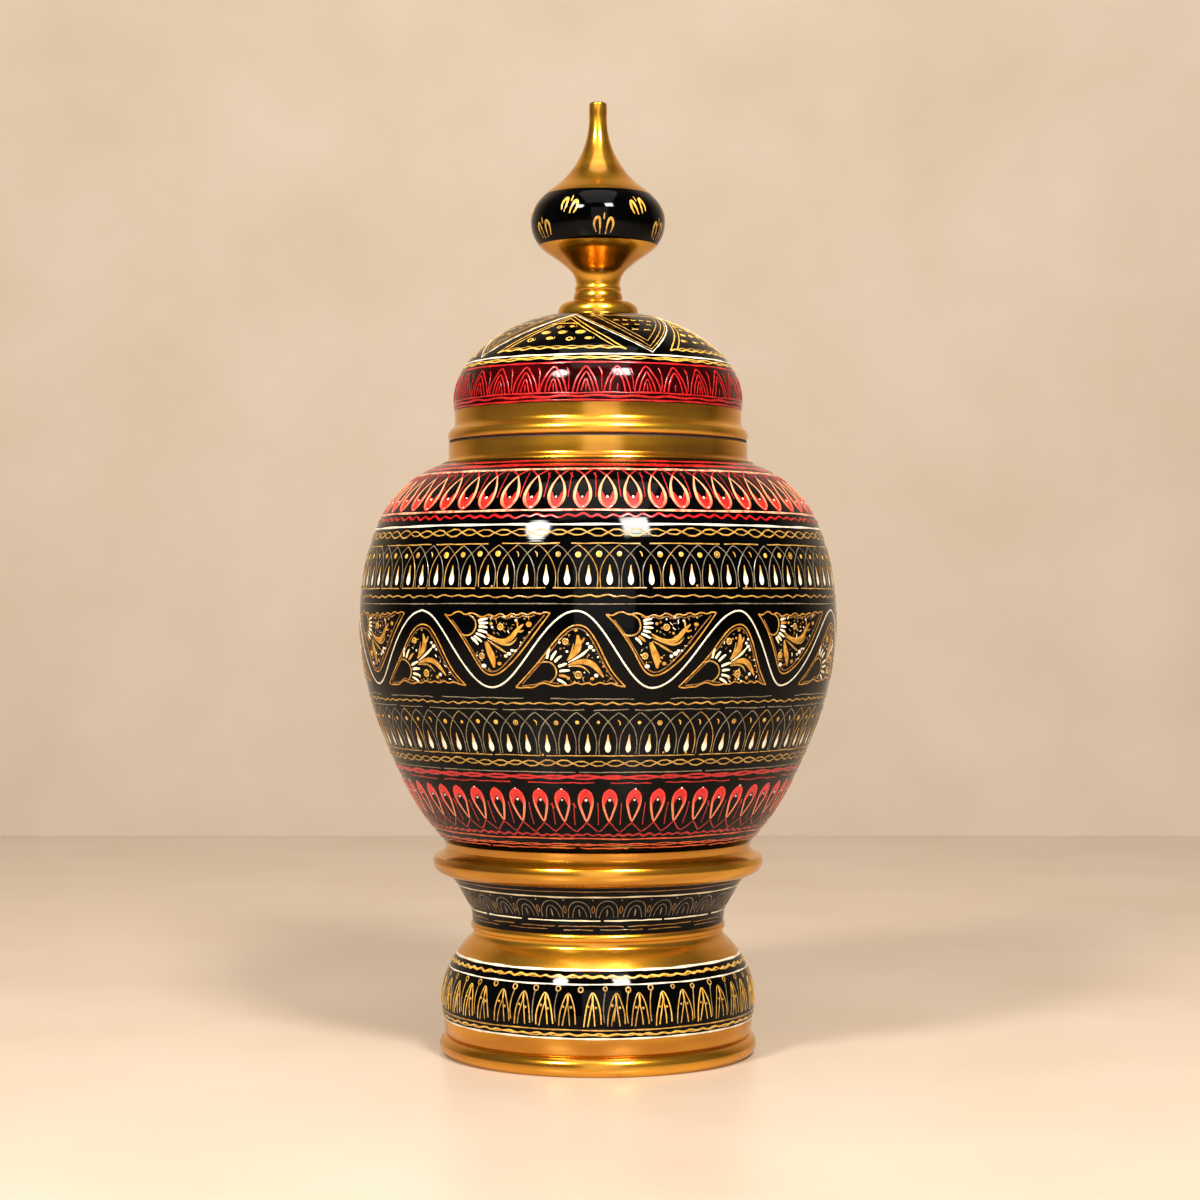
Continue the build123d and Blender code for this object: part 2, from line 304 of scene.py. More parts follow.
def selectEdges(mesh, wanted):  # back in edit mode, with each edge selected that has both ends where wanted
    bpy.ops.object.mode_set(mode="EDIT")
    bpy.ops.mesh.select_mode(type="EDGE")
    bpy.ops.mesh.select_all(action="DESELECT")
    bpy.ops.object.mode_set(mode="OBJECT")
    for edge in mesh.edges:
        edge.select = all(wanted(mesh.vertices[v].co) for v in edge.vertices)
    bpy.ops.object.mode_set(mode="EDIT")


# finishAt gives the number of a face's finish, by its height and radius
def turnPiece(node, outline, body, finishes, finishAt=None, steps=spinning["steps"]):
    bpy.ops.object.select_all(action="DESELECT")
    bpy.ops.mesh.primitive_circle_add(vertices=len(outline), radius=1, fill_type="NOTHING")
    piece = bpy.context.object
    piece.name = piece.data.name = node + "_finish"
    for vertex, (r, z) in zip(piece.data.vertices, outline):
        vertex.co = (r * mm, 0, z * mm)
    selectEdges(piece.data, lambda place: place.x < spinning["onAxis"])
    bpy.ops.mesh.delete(type="EDGE")
    bpy.ops.mesh.select_all(action="SELECT")
    bpy.ops.mesh.spin(steps=steps, angle=fullTurn, center=(0, 0, 0), axis=(0, 0, 1))
    bpy.ops.mesh.select_all(action="SELECT")
    bpy.ops.mesh.remove_doubles(threshold=spinning["weld"])
    bpy.ops.mesh.normals_make_consistent(inside=False)
    bpy.ops.object.mode_set(mode="OBJECT")
    bpy.ops.object.shade_smooth_by_angle(angle=spinning["sharp"])
    for finish in finishes:
        piece.data.materials.append(looks[finish])
    if finishAt:
        for face in piece.data.polygons:
            face.material_index = finishAt(face.center.z / mm, face.center.xy.length / mm)
    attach(piece, body)
    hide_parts(node)


holes = {"dowel": 15.1, "tenon": 6.1}  # radius of the hidden holes through several pieces


def bored(path, radius):  # an outline closed along its bore
    return [(radius, path[0][1])] + path + [(radius, path[-1][1])]


# Base ring and foot
baseRing = {"heel": (61.2, 0), "edge": (61.9, 0.7), "bulge": (63.3, 3.9), "groove": (60.5, 7.6),
            "bandFoot": (61.0, 8.2), "bandTop": (61.8, 14.2), "boreR": 49.0}
foot = {"spigotR": 48.9, "bottom": 3.0, "ledge": (61.8, 14.2), "widest": (62.6, 21), "shoulder": (60.1, 33.6),
        "crease": (50.6, 46.8), "hollow": (50.1, 48.0), "beadFoot": (50.1, 49.4), "bead": (50.9, 51.0),
        "top": (50.3, 52.5), "socketFloor": 19.5, "goldAbove": 39.6, "goldBelow": 15.0, "goldFromR": 49.0}


def baseRingOutline():
    b = baseRing
    path = [b["heel"], b["edge"]]
    arcVia(path, b["bulge"], b["groove"])
    return bored(path + [b["bandFoot"], b["bandTop"]], b["boreR"])


def footOutside():
    path = upAndDown(foot["widest"], [foot["shoulder"], foot["crease"]], [foot["ledge"]])
    arcVia(path, foot["hollow"], foot["beadFoot"])
    arcVia(path, foot["bead"], foot["top"])
    cutAt(path, foot["goldAbove"])
    cutAt(path, foot["goldBelow"])
    return path


def footOutline():
    f = foot
    spigot = [(0, f["bottom"]), (f["spigotR"], f["bottom"]), (f["spigotR"], f["ledge"][1])]
    socket = [(holes["dowel"], f["top"][1]), (holes["dowel"], f["socketFloor"]), (0, f["socketFloor"])]
    return spigot + footOutside() + socket


def footFinishAt(z, r):  # 0 black, 1 gold
    return int(r > foot["goldFromR"] and not foot["goldBelow"] <= z <= foot["goldAbove"])


turnPiece("base_ring", baseRingOutline(), "jar", ["goldLac"])
turnPiece("foot_block", footOutline(), "jar", ["blackLac", "goldLac"], footFinishAt)

# Waist and flange
waist = {"under": (50.3, 52.5), "neck": (50.3, 53.5), "flare": (52.0, 60.0), "top": (59.3, 71.4)}
flange = {"under": (60.3, 71.4), "ovolo": (64.4, 73.2), "tip": (66.0, 76.4), "upper": (65.4, 78.9),
          "hollow": (62.8, 80.0), "top": (61.0, 81.9)}


def waistOutside():
    path = [waist["under"], waist["neck"]]
    heading = arcTo(path, (0, 1), waist["flare"])
    arcTo(path, heading, waist["top"])
    return path


def flangeOutside():
    path = [flange["under"]]
    arcVia(path, flange["ovolo"], flange["tip"])
    arcTo(path, (0, 1), flange["upper"], step=0.4)
    arcVia(path, flange["hollow"], flange["top"])
    return path


turnPiece("waist_block", bored(waistOutside(), holes["dowel"]), "jar", ["blackLac"])
turnPiece("belly_flange", bored(flangeOutside(), holes["dowel"]), "jar", ["goldLac"])

# Belly
belly = {"under": (61.0, 81.9), "foot": (61.4, 84.6), "equator": (95.3, 173.0), "low": (88.9, 135.1),
         "lowest": (76.8, 106.9), "high": (89.1, 208.1), "shoulder": (62.4, 234.6), "mouthR": 54.0,
         "throat": 227.6, "innerEquator": (86.3, 173.0), "innerHigh": (80.6, 204.6),
         "innerLow": (78.6, 131.0), "innerFloor": (52.0, 96.6), "socketTop": 91.5, "skin": 2.0,
         "slack": 0.1}


def bellyOutside():
    return upAndDown(belly["equator"], [belly["high"], belly["shoulder"]],
                     [belly["low"], belly["lowest"], belly["foot"]])


def bellyOutline():
    b = belly
    inside = upAndDown(b["innerEquator"], [b["innerHigh"], (b["mouthR"], b["throat"])],
                       [b["innerLow"], b["innerFloor"]])
    outside = [(holes["dowel"], b["under"][1]), b["under"]] + bellyOutside()
    socket = [(0, b["innerFloor"][1]), (0, b["socketTop"]), (holes["dowel"], b["socketTop"])]
    return outside + [(b["mouthR"], b["shoulder"][1])] + inside[::-1] + socket


def radiusAt(shell, z):
    return np.interp(z, shell[:, 1], shell[:, 0])


bellyShell = np.array(bellyOutside())


def bellyFinishAt(z, r):  # 0 black outside, 1 bare wood inside, 2 the gold foot above the flange
    if z < belly["foot"][1]:
        return 2
    if z > belly["throat"] and r < belly["mouthR"] + belly["slack"]:
        return 1
    return int(z > belly["foot"][1] + belly["skin"] and r < radiusAt(bellyShell, z) - belly["skin"])


turnPiece("belly_shell", bellyOutline(), "jar", ["blackLac", "bareWood", "goldLac"],
          bellyFinishAt)

# Collar, lid rim and locating ring
collar = {"bore": 49.5, "spigot": 53.9, "bottom": 227.6, "ledge": (62.6, 234.6), "toe": (62.4, 235.1),
          "flare": (59.9, 237.2), "side": (59.8, 242.8), "rim": (59.2, 243.4), "seamFromR": 59.0,
          "bareWithin": 54.0, "bareBelow": 243.3}
lidRim = {"bore": 49.1, "under": (59.0, 243.4), "bead": (60.1, 245.9), "cyma": (58.8, 248.5),
          "band": (57.4, 251.2), "top": (57.5, 255.8), "seamFromR": 58.5, "seamTop": 244.0}
lidSpigot = {"inner": 43.0, "outer": 49.0, "bottom": 231.9, "top": 259.8, "leadIn": 1.2}


def collarOutline():
    c = collar
    down = [c["flare"]]
    arcTo(down, (0.1, -1), c["toe"], step=0.3)
    path = [(c["spigot"], c["bottom"]), (c["spigot"], c["ledge"][1]), c["ledge"]] + down[::-1] + [c["side"]]
    arcTo(path, (0, 1), c["rim"], step=0.2)
    return bored(path, c["bore"])


def lidRimOutline():
    c = lidRim
    down = [c["bead"]]
    arcTo(down, (0, -1), c["under"], step=0.3)
    path = down[::-1]
    heading = arcTo(path, (0, 1), c["cyma"], step=0.3)
    arcTo(path, heading, c["band"], step=0.3)
    return bored(path + [c["top"]], c["bore"])


def lidSpigotOutline():
    c = lidSpigot
    path = [(c["outer"] - c["leadIn"], c["bottom"]), (c["outer"], c["bottom"] + c["leadIn"]),
            (c["outer"], c["top"])]
    return bored(path, c["inner"])


def collarFinishAt(z, r):  # 0 gold, 1 bare bore, 2 painted shade in the seam under the lid
    if r > collar["seamFromR"] and z > collar["side"][1]:
        return 2
    return int(r < collar["bareWithin"] and z < collar["bareBelow"])


def lidRimFinishAt(z, r):  # 0 gold, 1 painted shade in the seam over the collar
    return int(r > lidRim["seamFromR"] and z < lidRim["seamTop"])


turnPiece("neck_collar", collarOutline(), "jar", ["goldLac", "bareWood", "seamShade"],
          collarFinishAt)
turnPiece("lid_rim_ring", lidRimOutline(), "lid", ["goldLac", "seamShade"], lidRimFinishAt)
turnPiece("lid_spigot_ring", lidSpigotOutline(), "lid", ["bareWood"])

# Lid dome
dome = {"under": (57.5, 255.8), "widest": (57.8, 259.4), "swell": (50.5, 277.5), "crown": (16.1, 294.8),
        "seat": (49.1, 259.8), "innerFoot": (47.3, 259.8), "innerSwell": (42.0, 273.6), "ceiling": 285.8,
        "redTop": 270.8, "skin": 3.0}


def domeOutside():
    path = upAndDown(dome["widest"], [dome["swell"], dome["crown"]], [dome["under"]])
    cutAt(path, dome["redTop"])
    return path


def domeOutline():
    d = dome
    inside = [d["innerFoot"]]
    heading = arcTo(inside, (0, 1), d["innerSwell"])
    arcTo(inside, heading, (holes["tenon"], d["ceiling"]))
    outside = [(d["seat"][0], d["under"][1])] + domeOutside() + [(holes["tenon"], d["crown"][1])]
    return outside + inside[::-1] + [d["seat"]]


domeShell = np.array(domeOutside())


def domeFinishAt(z, r):  # 0 black, 1 red, 2 bare wood inside
    if r < radiusAt(domeShell, z) - dome["skin"]:
        return 2
    return int(z < dome["redTop"])


turnPiece("lid_dome", domeOutline(), "lid", ["blackLac", "redLac", "bareWood"], domeFinishAt)

# Washer and finial
washer = {"foot": (16.1, 294.8), "edge": (16.1, 295.6), "top": (12.6, 299.7)}
finial = {"tenonR": 6.0, "tenonEnd": 284.3, "seat": 299.7, "shoulder": (9.5, 299.7), "bead1": (9.8, 301.9),
          "groove": (9.0, 304.0), "bead2": (9.3, 305.2), "neck": (8.7, 306.6), "knob": (26.9, 331.9),
          "knobLow": (19.9, 319.3), "cup": (12.0, 313.5), "knobHigh": (24.1, 339.9),
          "spireFoot": (18.5, 345.2), "spireMid": (10.0, 353.7), "spireTop": (3.6, 376.0),
          "tip": (3.6, 378.9), "end": (2.5, 380.0), "blackFrom": 322.5, "blackTo": 342.6, "steps": 160}


def washerOutline():
    path = [washer["foot"], washer["edge"]]
    arcTo(path, (0, 1), washer["top"], step=0.4)
    return bored(path, holes["tenon"])


def finialOutside():
    f = finial
    path = [f["shoulder"]]
    arcVia(path, f["bead1"], f["groove"], step=0.3)
    arcVia(path, f["bead2"], f["neck"], step=0.3)
    knob = upAndDown(f["knob"], [f["knobHigh"], f["spireFoot"], f["spireMid"], f["spireTop"]],
                     [f["knobLow"], f["cup"], f["neck"]])
    path += knob[1:] + [f["tip"]]
    arcTo(path, (0, 1), f["end"], step=0.25)
    cutAt(path, f["blackFrom"])
    cutAt(path, f["blackTo"])
    return path


def finialOutline():
    f = finial
    tenon = [(0, f["tenonEnd"]), (f["tenonR"], f["tenonEnd"]), (f["tenonR"], f["seat"])]
    return tenon + finialOutside() + [(0, f["end"][1])]


def finialFinishAt(z, r):  # 0 gold, 1 the black knob, 2 the bare tenon
    if z < finial["seat"]:
        return 2
    return int(finial["blackFrom"] < z < finial["blackTo"])


turnPiece("finial_washer", washerOutline(), "lid", ["goldLac"])
turnPiece("finial", finialOutline(), "lid", ["goldLac", "blackLac", "bareWood"],
          finialFinishAt, steps=finial["steps"])

for nodeName in ("pedestal_dowel", "finial_wedge"):
    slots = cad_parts[nodeName].data.materials
    slots.clear()
    slots.append(looks["bareWood"])
print("turned pieces made")


# Surfaces that the lines are laid on: radius and outward direction at each height, or length up the outline
def surfaceOf(path, byLength=False):
    points = np.array(path)
    steps = np.hypot(*np.diff(points, axis=0).T)
    length = np.r_[0, np.cumsum(steps)]
    way = np.gradient(points, length, axis=0)
    way /= np.linalg.norm(way, axis=1)[:, None]
    key = length if byLength else points[:, 1]
    return {"key": key, "r": points[:, 0], "z": points[:, 1], "outR": way[:, 1], "outZ": -way[:, 0]}


# A drawing is a list of strokes on a flat sheet, in millimetres: x round the piece, y its height
def stroke(drawing, points, width, closed=False, straight=False):
    points = [tuple(p) + (1.0,) * (3 - len(p)) for p in points]
    drawing.append({"points": points, "width": width, "closed": closed, "straight": straight})


def leaf(drawing, points, width, start=0.25, end=0.2, fullest=0.55):  # a stroke that swells and thins again
    count = len(points) - 1
    swollen = []
    for i, (x, y) in enumerate(points):
        t = i / count
        share = math.sin(math.pi / 2 * min(t / fullest, (1 - t) / (1 - fullest)))
        floor = start if t < fullest else end
        swollen.append((x, y, floor + (1 - floor) * share))
    stroke(drawing, swollen, width)


def dot(drawing, x, y, size, squash=1.0):
    half = size / 2
    places = (-0.98, -0.75, -0.35, 0.35, 0.75, 0.98)
    points = [(x + half * p, y, squash * math.sqrt(1 - p * p)) for p in places]
    stroke(drawing, points, size, straight=True)


def ring(drawing, x, y, size, width):
    half = size / 2
    turns = np.linspace(0, fullTurn, 9)[:-1]
    points = [(x + half * math.cos(a), y + half * math.sin(a)) for a in turns]
    stroke(drawing, points, width, closed=True)


def shaken(points, amount):
    return [(p[0] + unsteady(amount), p[1] + unsteady(amount)) + tuple(p[2:]) for p in points]


def mirrored(points):
    return [(-p[0],) + tuple(p[1:]) for p in points]


def bothSides(half):  # a shape that is the same on both sides, from its left half
    return half + mirrored(half)[-2::-1]


def moved(points, x, y=0.0, scaleX=1.0):
    return [(x + p[0] * scaleX, y + p[1]) + tuple(p[2:]) for p in points]


def placed(points, x, shake, wide=1.0):
    return shaken(moved(points, x, scaleX=wide), shake)


def newSheets(*finishes):  # one empty drawing for each finish of line
    return {finish: [] for finish in finishes}


def unitOf(band):  # how wide one repeat of a band is on its sheet
    return fullTurn * band["sheetR"] / band["count"]


# How drawings are raised: the usual lift, how far lines sink in, and the flat height that gives the full lift
raised = {"lift": 0.13, "sunk": 0.04, "full": 0.22, "curved": 3, "sharp": math.radians(60)}


def flatDrawing(name, drawing):  # all strokes as one mesh, still flat
    curve = bpy.data.curves.new(name, "CURVE")
    curve.dimensions = "3D"
    curve.bevel_depth = 1.0
    curve.bevel_resolution = 0
    curve.use_fill_caps = True
    curve.twist_mode = "Z_UP"
    curve.resolution_u = raised["curved"]
    for line in drawing:
        spline = curve.splines.new("POLY" if line["straight"] else "NURBS")
        spline.points.add(len(line["points"]) - 1)
        for point, (x, y, share) in zip(spline.points, line["points"]):
            point.co = (x, y, 0, 1)
            point.radius = line["width"] / 2 * share
        if not line["straight"]:
            spline.order_u = min(raised["curved"], len(line["points"]))
            spline.use_endpoint_u = not line["closed"]
        spline.use_cyclic_u = line["closed"]
    drawn = bpy.data.objects.new(name, curve)
    bpy.context.scene.collection.objects.link(drawn)
    bpy.ops.object.select_all(action="DESELECT")
    drawn.select_set(True)
    bpy.context.view_layer.objects.active = drawn
    bpy.ops.object.convert(target="MESH")
    piece = bpy.context.object
    piece.data.name = name
    return piece


def wrapRound(mesh, surface, band, lift):  # bends the flat mesh round its piece, turned by the band's first
    flat = np.empty(len(mesh.vertices) * 3, np.float32)
    mesh.vertices.foreach_get("co", flat)
    x, y, h = flat.reshape(-1, 3).astype(float).T
    share = h / raised["full"]
    high = np.where(h > 0, lift * np.clip(share, 0, 1), raised["sunk"] * np.clip(share, -1, 0))
    r, z, outR, outZ = (np.interp(y, surface["key"], surface[k]) for k in ("r", "z", "outR", "outZ"))
    angle = -math.pi / 2 + math.radians(band.get("first", 0.0)) + x / band["sheetR"]
    r = r + outR * high
    z = z + outZ * high
    wrapped = np.c_[r * np.cos(angle), r * np.sin(angle), z] * mm
    mesh.vertices.foreach_set("co", wrapped.astype(np.float32).ravel())
    mesh.update()


def layDown(band, sheets, surface, body):  # each sheet of a band becomes one piece
    for finish, drawing in sheets.items():
        piece = flatDrawing(band["name"] + "_" + finish, drawing)
        wrapRound(piece.data, surface, band, band.get("lifts", {}).get(finish, raised["lift"]))
        bpy.ops.object.mode_set(mode="EDIT")
        bpy.ops.mesh.select_all(action="SELECT")
        bpy.ops.mesh.normals_make_consistent(inside=False)
        bpy.ops.object.mode_set(mode="OBJECT")
        bpy.ops.object.shade_smooth_by_angle(angle=raised["sharp"])
        piece.data.materials.clear()
        piece.data.materials.append(looks[finish])
        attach(piece, body)


# Lines that run right round, in four kinds, and how uneven the hand makes each
ringHand = {"parts": 256, "phase": (0, 6), "wanders": (6, 17), "quickShare": 0.6, "swells": 23, "swell": 0.25}
brokenHand = {"run": (0.5, 1.6), "gap": (0.4, 1.5), "shortest": 0.4, "part": 3, "thick": (0.7, 1.2)}
wavyHand = {"reach": (0.5, 1.3), "shift": 0.2, "thick": (0.75, 1.25)}
chainHand = {"reach": (1.3, 1.9), "shift": 0.08, "thick": (0.8, 1.2)}


def ringLine(drawing, sheetR, y, width, drift=0.12):
    half = math.pi * sheetR
    slow, quick = ringHand["wanders"]
    share = ringHand["quickShare"]
    phase = hand.uniform(*ringHand["phase"])
    points = []
    for i in range(ringHand["parts"] + 1):
        t = i / ringHand["parts"]
        a = fullTurn * t
        wander = math.sin(slow * a + phase) + share * math.sin(quick * a + 2 * phase)
        thick = 1 + ringHand["swell"] * math.sin(ringHand["swells"] * a + phase)
        points.append((-half + 2 * half * t, y + drift * wander / (1 + share), thick))
    stroke(drawing, points, width, straight=True)


def brokenLine(drawing, sheetR, y, width, run, gap, drift=0.25):
    b = brokenHand
    half = math.pi * sheetR
    x = -half
    while x < half - run * b["shortest"]:
        length = min(run * hand.uniform(*b["run"]), half - x)
        count = max(3, int(length / b["part"]))
        points = []
        for i in range(count + 1):
            points.append((x + length * i / count, y + unsteady(drift), hand.uniform(*b["thick"])))
        stroke(drawing, points, width)
        x += length + gap * hand.uniform(*b["gap"])


def wavyLine(drawing, sheetR, y, width, swing, period):
    count = round(fullTurn * sheetR / period) * 2
    half = math.pi * sheetR
    side = 1
    points = [(-half, y, 1.0)]
    for i in range(1, count):
        reach = swing * hand.uniform(*wavyHand["reach"])
        x = -half + 2 * half * (i + unsteady(wavyHand["shift"])) / count
        points.append((x, y + side * reach, hand.uniform(*wavyHand["thick"])))
        side = -side
    points.append((half, y, 1.0))
    stroke(drawing, points, width)


def chainLine(drawing, sheetR, y, width, swing, lens):  # two waves that cross and leave lenses between them
    count = round(fullTurn * sheetR / lens)
    half = math.pi * sheetR
    for side in (1, -1):
        points = [(-half, y, 1.0)]
        for i in range(count):
            x = -half + 2 * half * (i + 0.5 + unsteady(chainHand["shift"])) / count
            reach = swing * hand.uniform(*chainHand["reach"])
            points.append((x, y + side * reach, hand.uniform(*chainHand["thick"])))
            side = -side
        points.append((half, y, 1.0))
        stroke(drawing, points, width)


ringPens = {"ring": ringLine, "broken": brokenLine, "wave": wavyLine, "chain": chainLine}


def drawRings(sheets, band):
    for finish, kind, y, *shape in band["rings"]:
        ringPens[kind](sheets[finish], band["sheetR"], y, *shape)
    return sheets


# Rings of line on the belly: sheet, kind, height, width and what shapes it
bellyRings = {
    "name": "belly_rings", "sheetR": belly["equator"][0],
    "rings": [
        ("redLine", "ring", 233.0, 0.6), ("redLine", "ring", 231.3, 0.9),
        ("redLine", "broken", 112.6, 0.45, 34.0, 6.0, 0.3),
        ("redWave", "wave", 211.6, 0.75, 1.15, 6.2), ("redWave", "wave", 92.3, 0.8, 0.75, 5.5),
        ("redChain", "chain", 114.9, 0.85, 0.75, 13.0),
        ("salmonLine", "ring", 229.5, 0.7), ("salmonLine", "ring", 213.7, 0.7),
        ("orangeLine", "ring", 90.7, 0.55, 0.25), ("orangeLine", "chain", 88.3, 0.42, 0.5, 15.0),
        ("orangeLine", "broken", 86.9, 0.45, 40.0, 3.0),
        ("whiteLine", "ring", 208.4, 0.72),
        ("goldLine", "chain", 205.5, 0.52, 1.6, 7.6), ("goldLine", "broken", 201.3, 0.45, 26.0, 4.0, 0.15),
        ("goldLine", "wave", 181.9, 0.5, 0.75, 6.5), ("goldLine", "broken", 184.9, 0.45, 22.0, 2.0, 0.1),
        ("goldLine", "wave", 142.5, 0.5, 0.7, 5.5), ("goldLine", "chain", 120.2, 0.5, 1.3, 7.2),
        ("goldLine", "broken", 123.0, 0.4, 40.0, 2.0, 0.1),
        ("dimLine", "ring", 179.1, 0.36), ("dimLine", "broken", 140.2, 0.4, 26.0, 3.0),
        ("dimLine", "broken", 144.3, 0.35, 30.0, 12.0), ("dimLine", "broken", 116.7, 0.42, 44.0, 1.5, 0.1)],
}
looks["redWave"], looks["redChain"] = looks["redLine"], looks["brightRed"]
bellySurface = surfaceOf(bellyShell)
ringSheets = newSheets("redLine", "redWave", "redChain", "salmonLine", "orangeLine", "whiteLine", "goldLine",
                       "dimLine")
layDown(bellyRings, drawRings(ringSheets, bellyRings), bellySurface, "jar")
print("belly rings drawn")

# Arcades of lancets with a white drop in each: heights of each part, and how far the legs stand from the drop
arcades = [
    {"name": "upper_arcade", "count": 76, "sheetR": 94.0, "first": -2.1, "dropFoot": 186.1, "dropTip": 193.5,
     "dropWide": 2.3, "dotAt": 197.3, "dotSize": 2.1, "finish": "upperDrop",
     "leg": [(-3.25, 185.3), (-3.55, 189.0), (-2.9, 192.8), (-1.5, 195.8), (0, 197.6), (1.9, 199.6),
             (3.8, 200.8)],
     "lifts": {"upperDrop": 0.12, "goldLine": 0.14, "brightGold": 0.16}},
    {"name": "lower_arcade", "count": 72, "sheetR": 87.0, "first": -2.5, "dropFoot": 124.3, "dropTip": 131.0,
     "dropWide": 2.2, "dotAt": 135.3, "dotSize": 1.6, "finish": "lowerDrop",
     "leg": [(-3.2, 123.6), (-3.5, 127.0), (-2.9, 130.8), (-1.5, 134.0), (0, 135.9), (1.9, 138.0),
             (3.75, 139.2)],
     "lifts": {"lowerDrop": 0.12, "goldLine": 0.14, "brightGold": 0.16}},
]
# What both share: the unit that the legs are drawn for, widths, unevenness, chances and small shapes
arcadeHand = {"drawnUnit": 7.6, "goldLegs": 0.16, "legShake": 0.16, "legWidth": (0.28, 0.4), "lean": 0.25,
              "dropWidth": (0.88, 1.08), "dropRise": (0.97, 1.03), "shift": 0.3, "dotSize": (0.75, 1.15),
              "dots": 0.62, "dotsAndRings": 0.82, "ringWidth": 0.5, "ringEye": 0.45, "commaWidth": 0.9,
              "comma": [(-0.6, 1.1), (0.5, 0.5), (0.3, -0.9)],
              "specks": 0.25, "speckSize": 0.9, "speckAside": 2.5, "speckUp": (-0.4, 0.5),
              "drop": [(0.0, 0.25), (0.06, 0.72), (0.2, 1.0), (0.36, 0.92), (0.58, 0.52), (0.78, 0.3),
                       (1.0, 0.14)]}


def drawArcade(a):
    sheets = newSheets("dimLine", "goldLine", "brightGold", a["finish"])
    h = arcadeHand
    unit = unitOf(a)
    tall = a["dropTip"] - a["dropFoot"]
    for i in range(a["count"]):
        x = i * unit
        for side in (1, -1):
            leg = [(p[0] * side * unit / h["drawnUnit"], p[1]) for p in a["leg"]]
            pen = "goldLine" if hand.random() < h["goldLegs"] else "dimLine"
            stroke(sheets[pen], placed(leg, x, h["legShake"]), hand.uniform(*h["legWidth"]))
        lean = unsteady(h["lean"])
        wide = a["dropWide"] * hand.uniform(*h["dropWidth"])
        drop = []
        for t, share in h["drop"]:
            drop.append((x + lean * t, a["dropFoot"] + tall * t * hand.uniform(*h["dropRise"]), share))
        stroke(sheets[a["finish"]], drop, wide)
        gapX = x + unit / 2 + unsteady(h["shift"])
        kind = hand.random()
        size = a["dotSize"] * hand.uniform(*h["dotSize"])
        if kind < h["dots"]:
            dot(sheets["brightGold"], gapX, a["dotAt"] + unsteady(h["shift"]), size)
        elif kind < h["dotsAndRings"]:
            ring(sheets["goldLine"], gapX, a["dotAt"], size, h["ringWidth"])
            dot(sheets["brightGold"], gapX, a["dotAt"], size * h["ringEye"])
        else:
            leaf(sheets["brightGold"], moved(h["comma"], gapX, a["dotAt"]), h["commaWidth"])
        if hand.random() < h["specks"]:
            speckX = x + unsteady(h["speckAside"])
            dot(sheets["goldLine"], speckX, a["leg"][0][1] + hand.uniform(*h["speckUp"]), h["speckSize"])
    return sheets


for arcade in arcades:
    layDown(arcade, drawArcade(arcade), bellySurface, "jar")
print("arcades drawn")

# Red drops: a loop, its fill, a dot, a thin line between drops and arcs that cross where the loop closes
redDrops = [
    {"name": "shoulder_drops", "count": 56, "sheetR": 82.0, "first": 2.4, "finish": "shoulderLoop",
     "wide": 1.25, "fillWide": 2.7,
     "loop": [(0, 227.0, 0.35), (-1.5, 225.0, 0.45), (-2.75, 222.2, 0.8), (-3.05, 219.3, 1.0),
              (-2.5, 217.0, 1.0), (-1.2, 215.3, 0.8), (0, 214.6, 0.6)],
     "crescent": [(0.5, 215.6, 0.8), (-0.5, 216.2, 1.0), (-1.4, 217.4, 0.9), (-1.95, 219.0, 0.5),
                  (-2.1, 220.6, 0.2)],
     "arc": [(0, 227.0), (1.6, 228.2), (3.2, 229.2), (4.6, 229.6)], "between": (228.2, 218.6),
     "dots": [(0, 218.7, 0.95), (0.4, 215.0, 0.8)],
     "lifts": {"redFill": 0.10, "whiteLine": 0.20, "redLine": 0.11}},
    {"name": "skirt_drops", "count": 54, "sheetR": 77.0, "first": 3.5, "finish": "skirtLoop",
     "wide": 0.95, "fillWide": 2.8,
     "loop": [(0, 110.1, 0.7), (-1.7, 109.2, 0.9), (-2.6, 107.0, 1.0), (-2.55, 104.6, 1.0),
              (-1.9, 102.0, 0.9), (-0.9, 99.2, 0.8), (0, 97.3, 0.6)],
     "crescent": [(0.5, 109.0, 0.8), (-0.7, 108.6, 1.0), (-1.5, 107.4, 0.9), (-2.0, 105.8, 0.5),
                  (-2.1, 104.2, 0.2)],
     "arc": [(0, 97.3), (1.5, 95.8), (3.0, 94.4), (4.3, 93.6)], "between": (105.0, 96.4),
     "dots": [(0, 106.0, 1.0), (0, 110.2, 0.8)],
     "lifts": {"redFill": 0.10, "whiteLine": 0.20, "redLine": 0.11}},
]
# What both share. A dot larger than sureDot is in every drop, and a smaller one in some
dropHand = {"shift": 0.3, "size": (0.93, 1.05), "loopShake": 0.1, "loopWidth": (0.9, 1.1), "arcShake": 0.25,
            "arcWidth": 0.5, "bend": 0.5, "slip": 0.4, "lineWidth": 0.4, "commas": 0.4, "commaWidth": 0.8,
            "comma": [(-0.8, -0.2), (0.2, -1.3), (0.7, -2.0)], "sureDot": 0.9, "smallDots": 0.55,
            "dotShift": 0.15, "dotSize": (0.7, 1.1)}


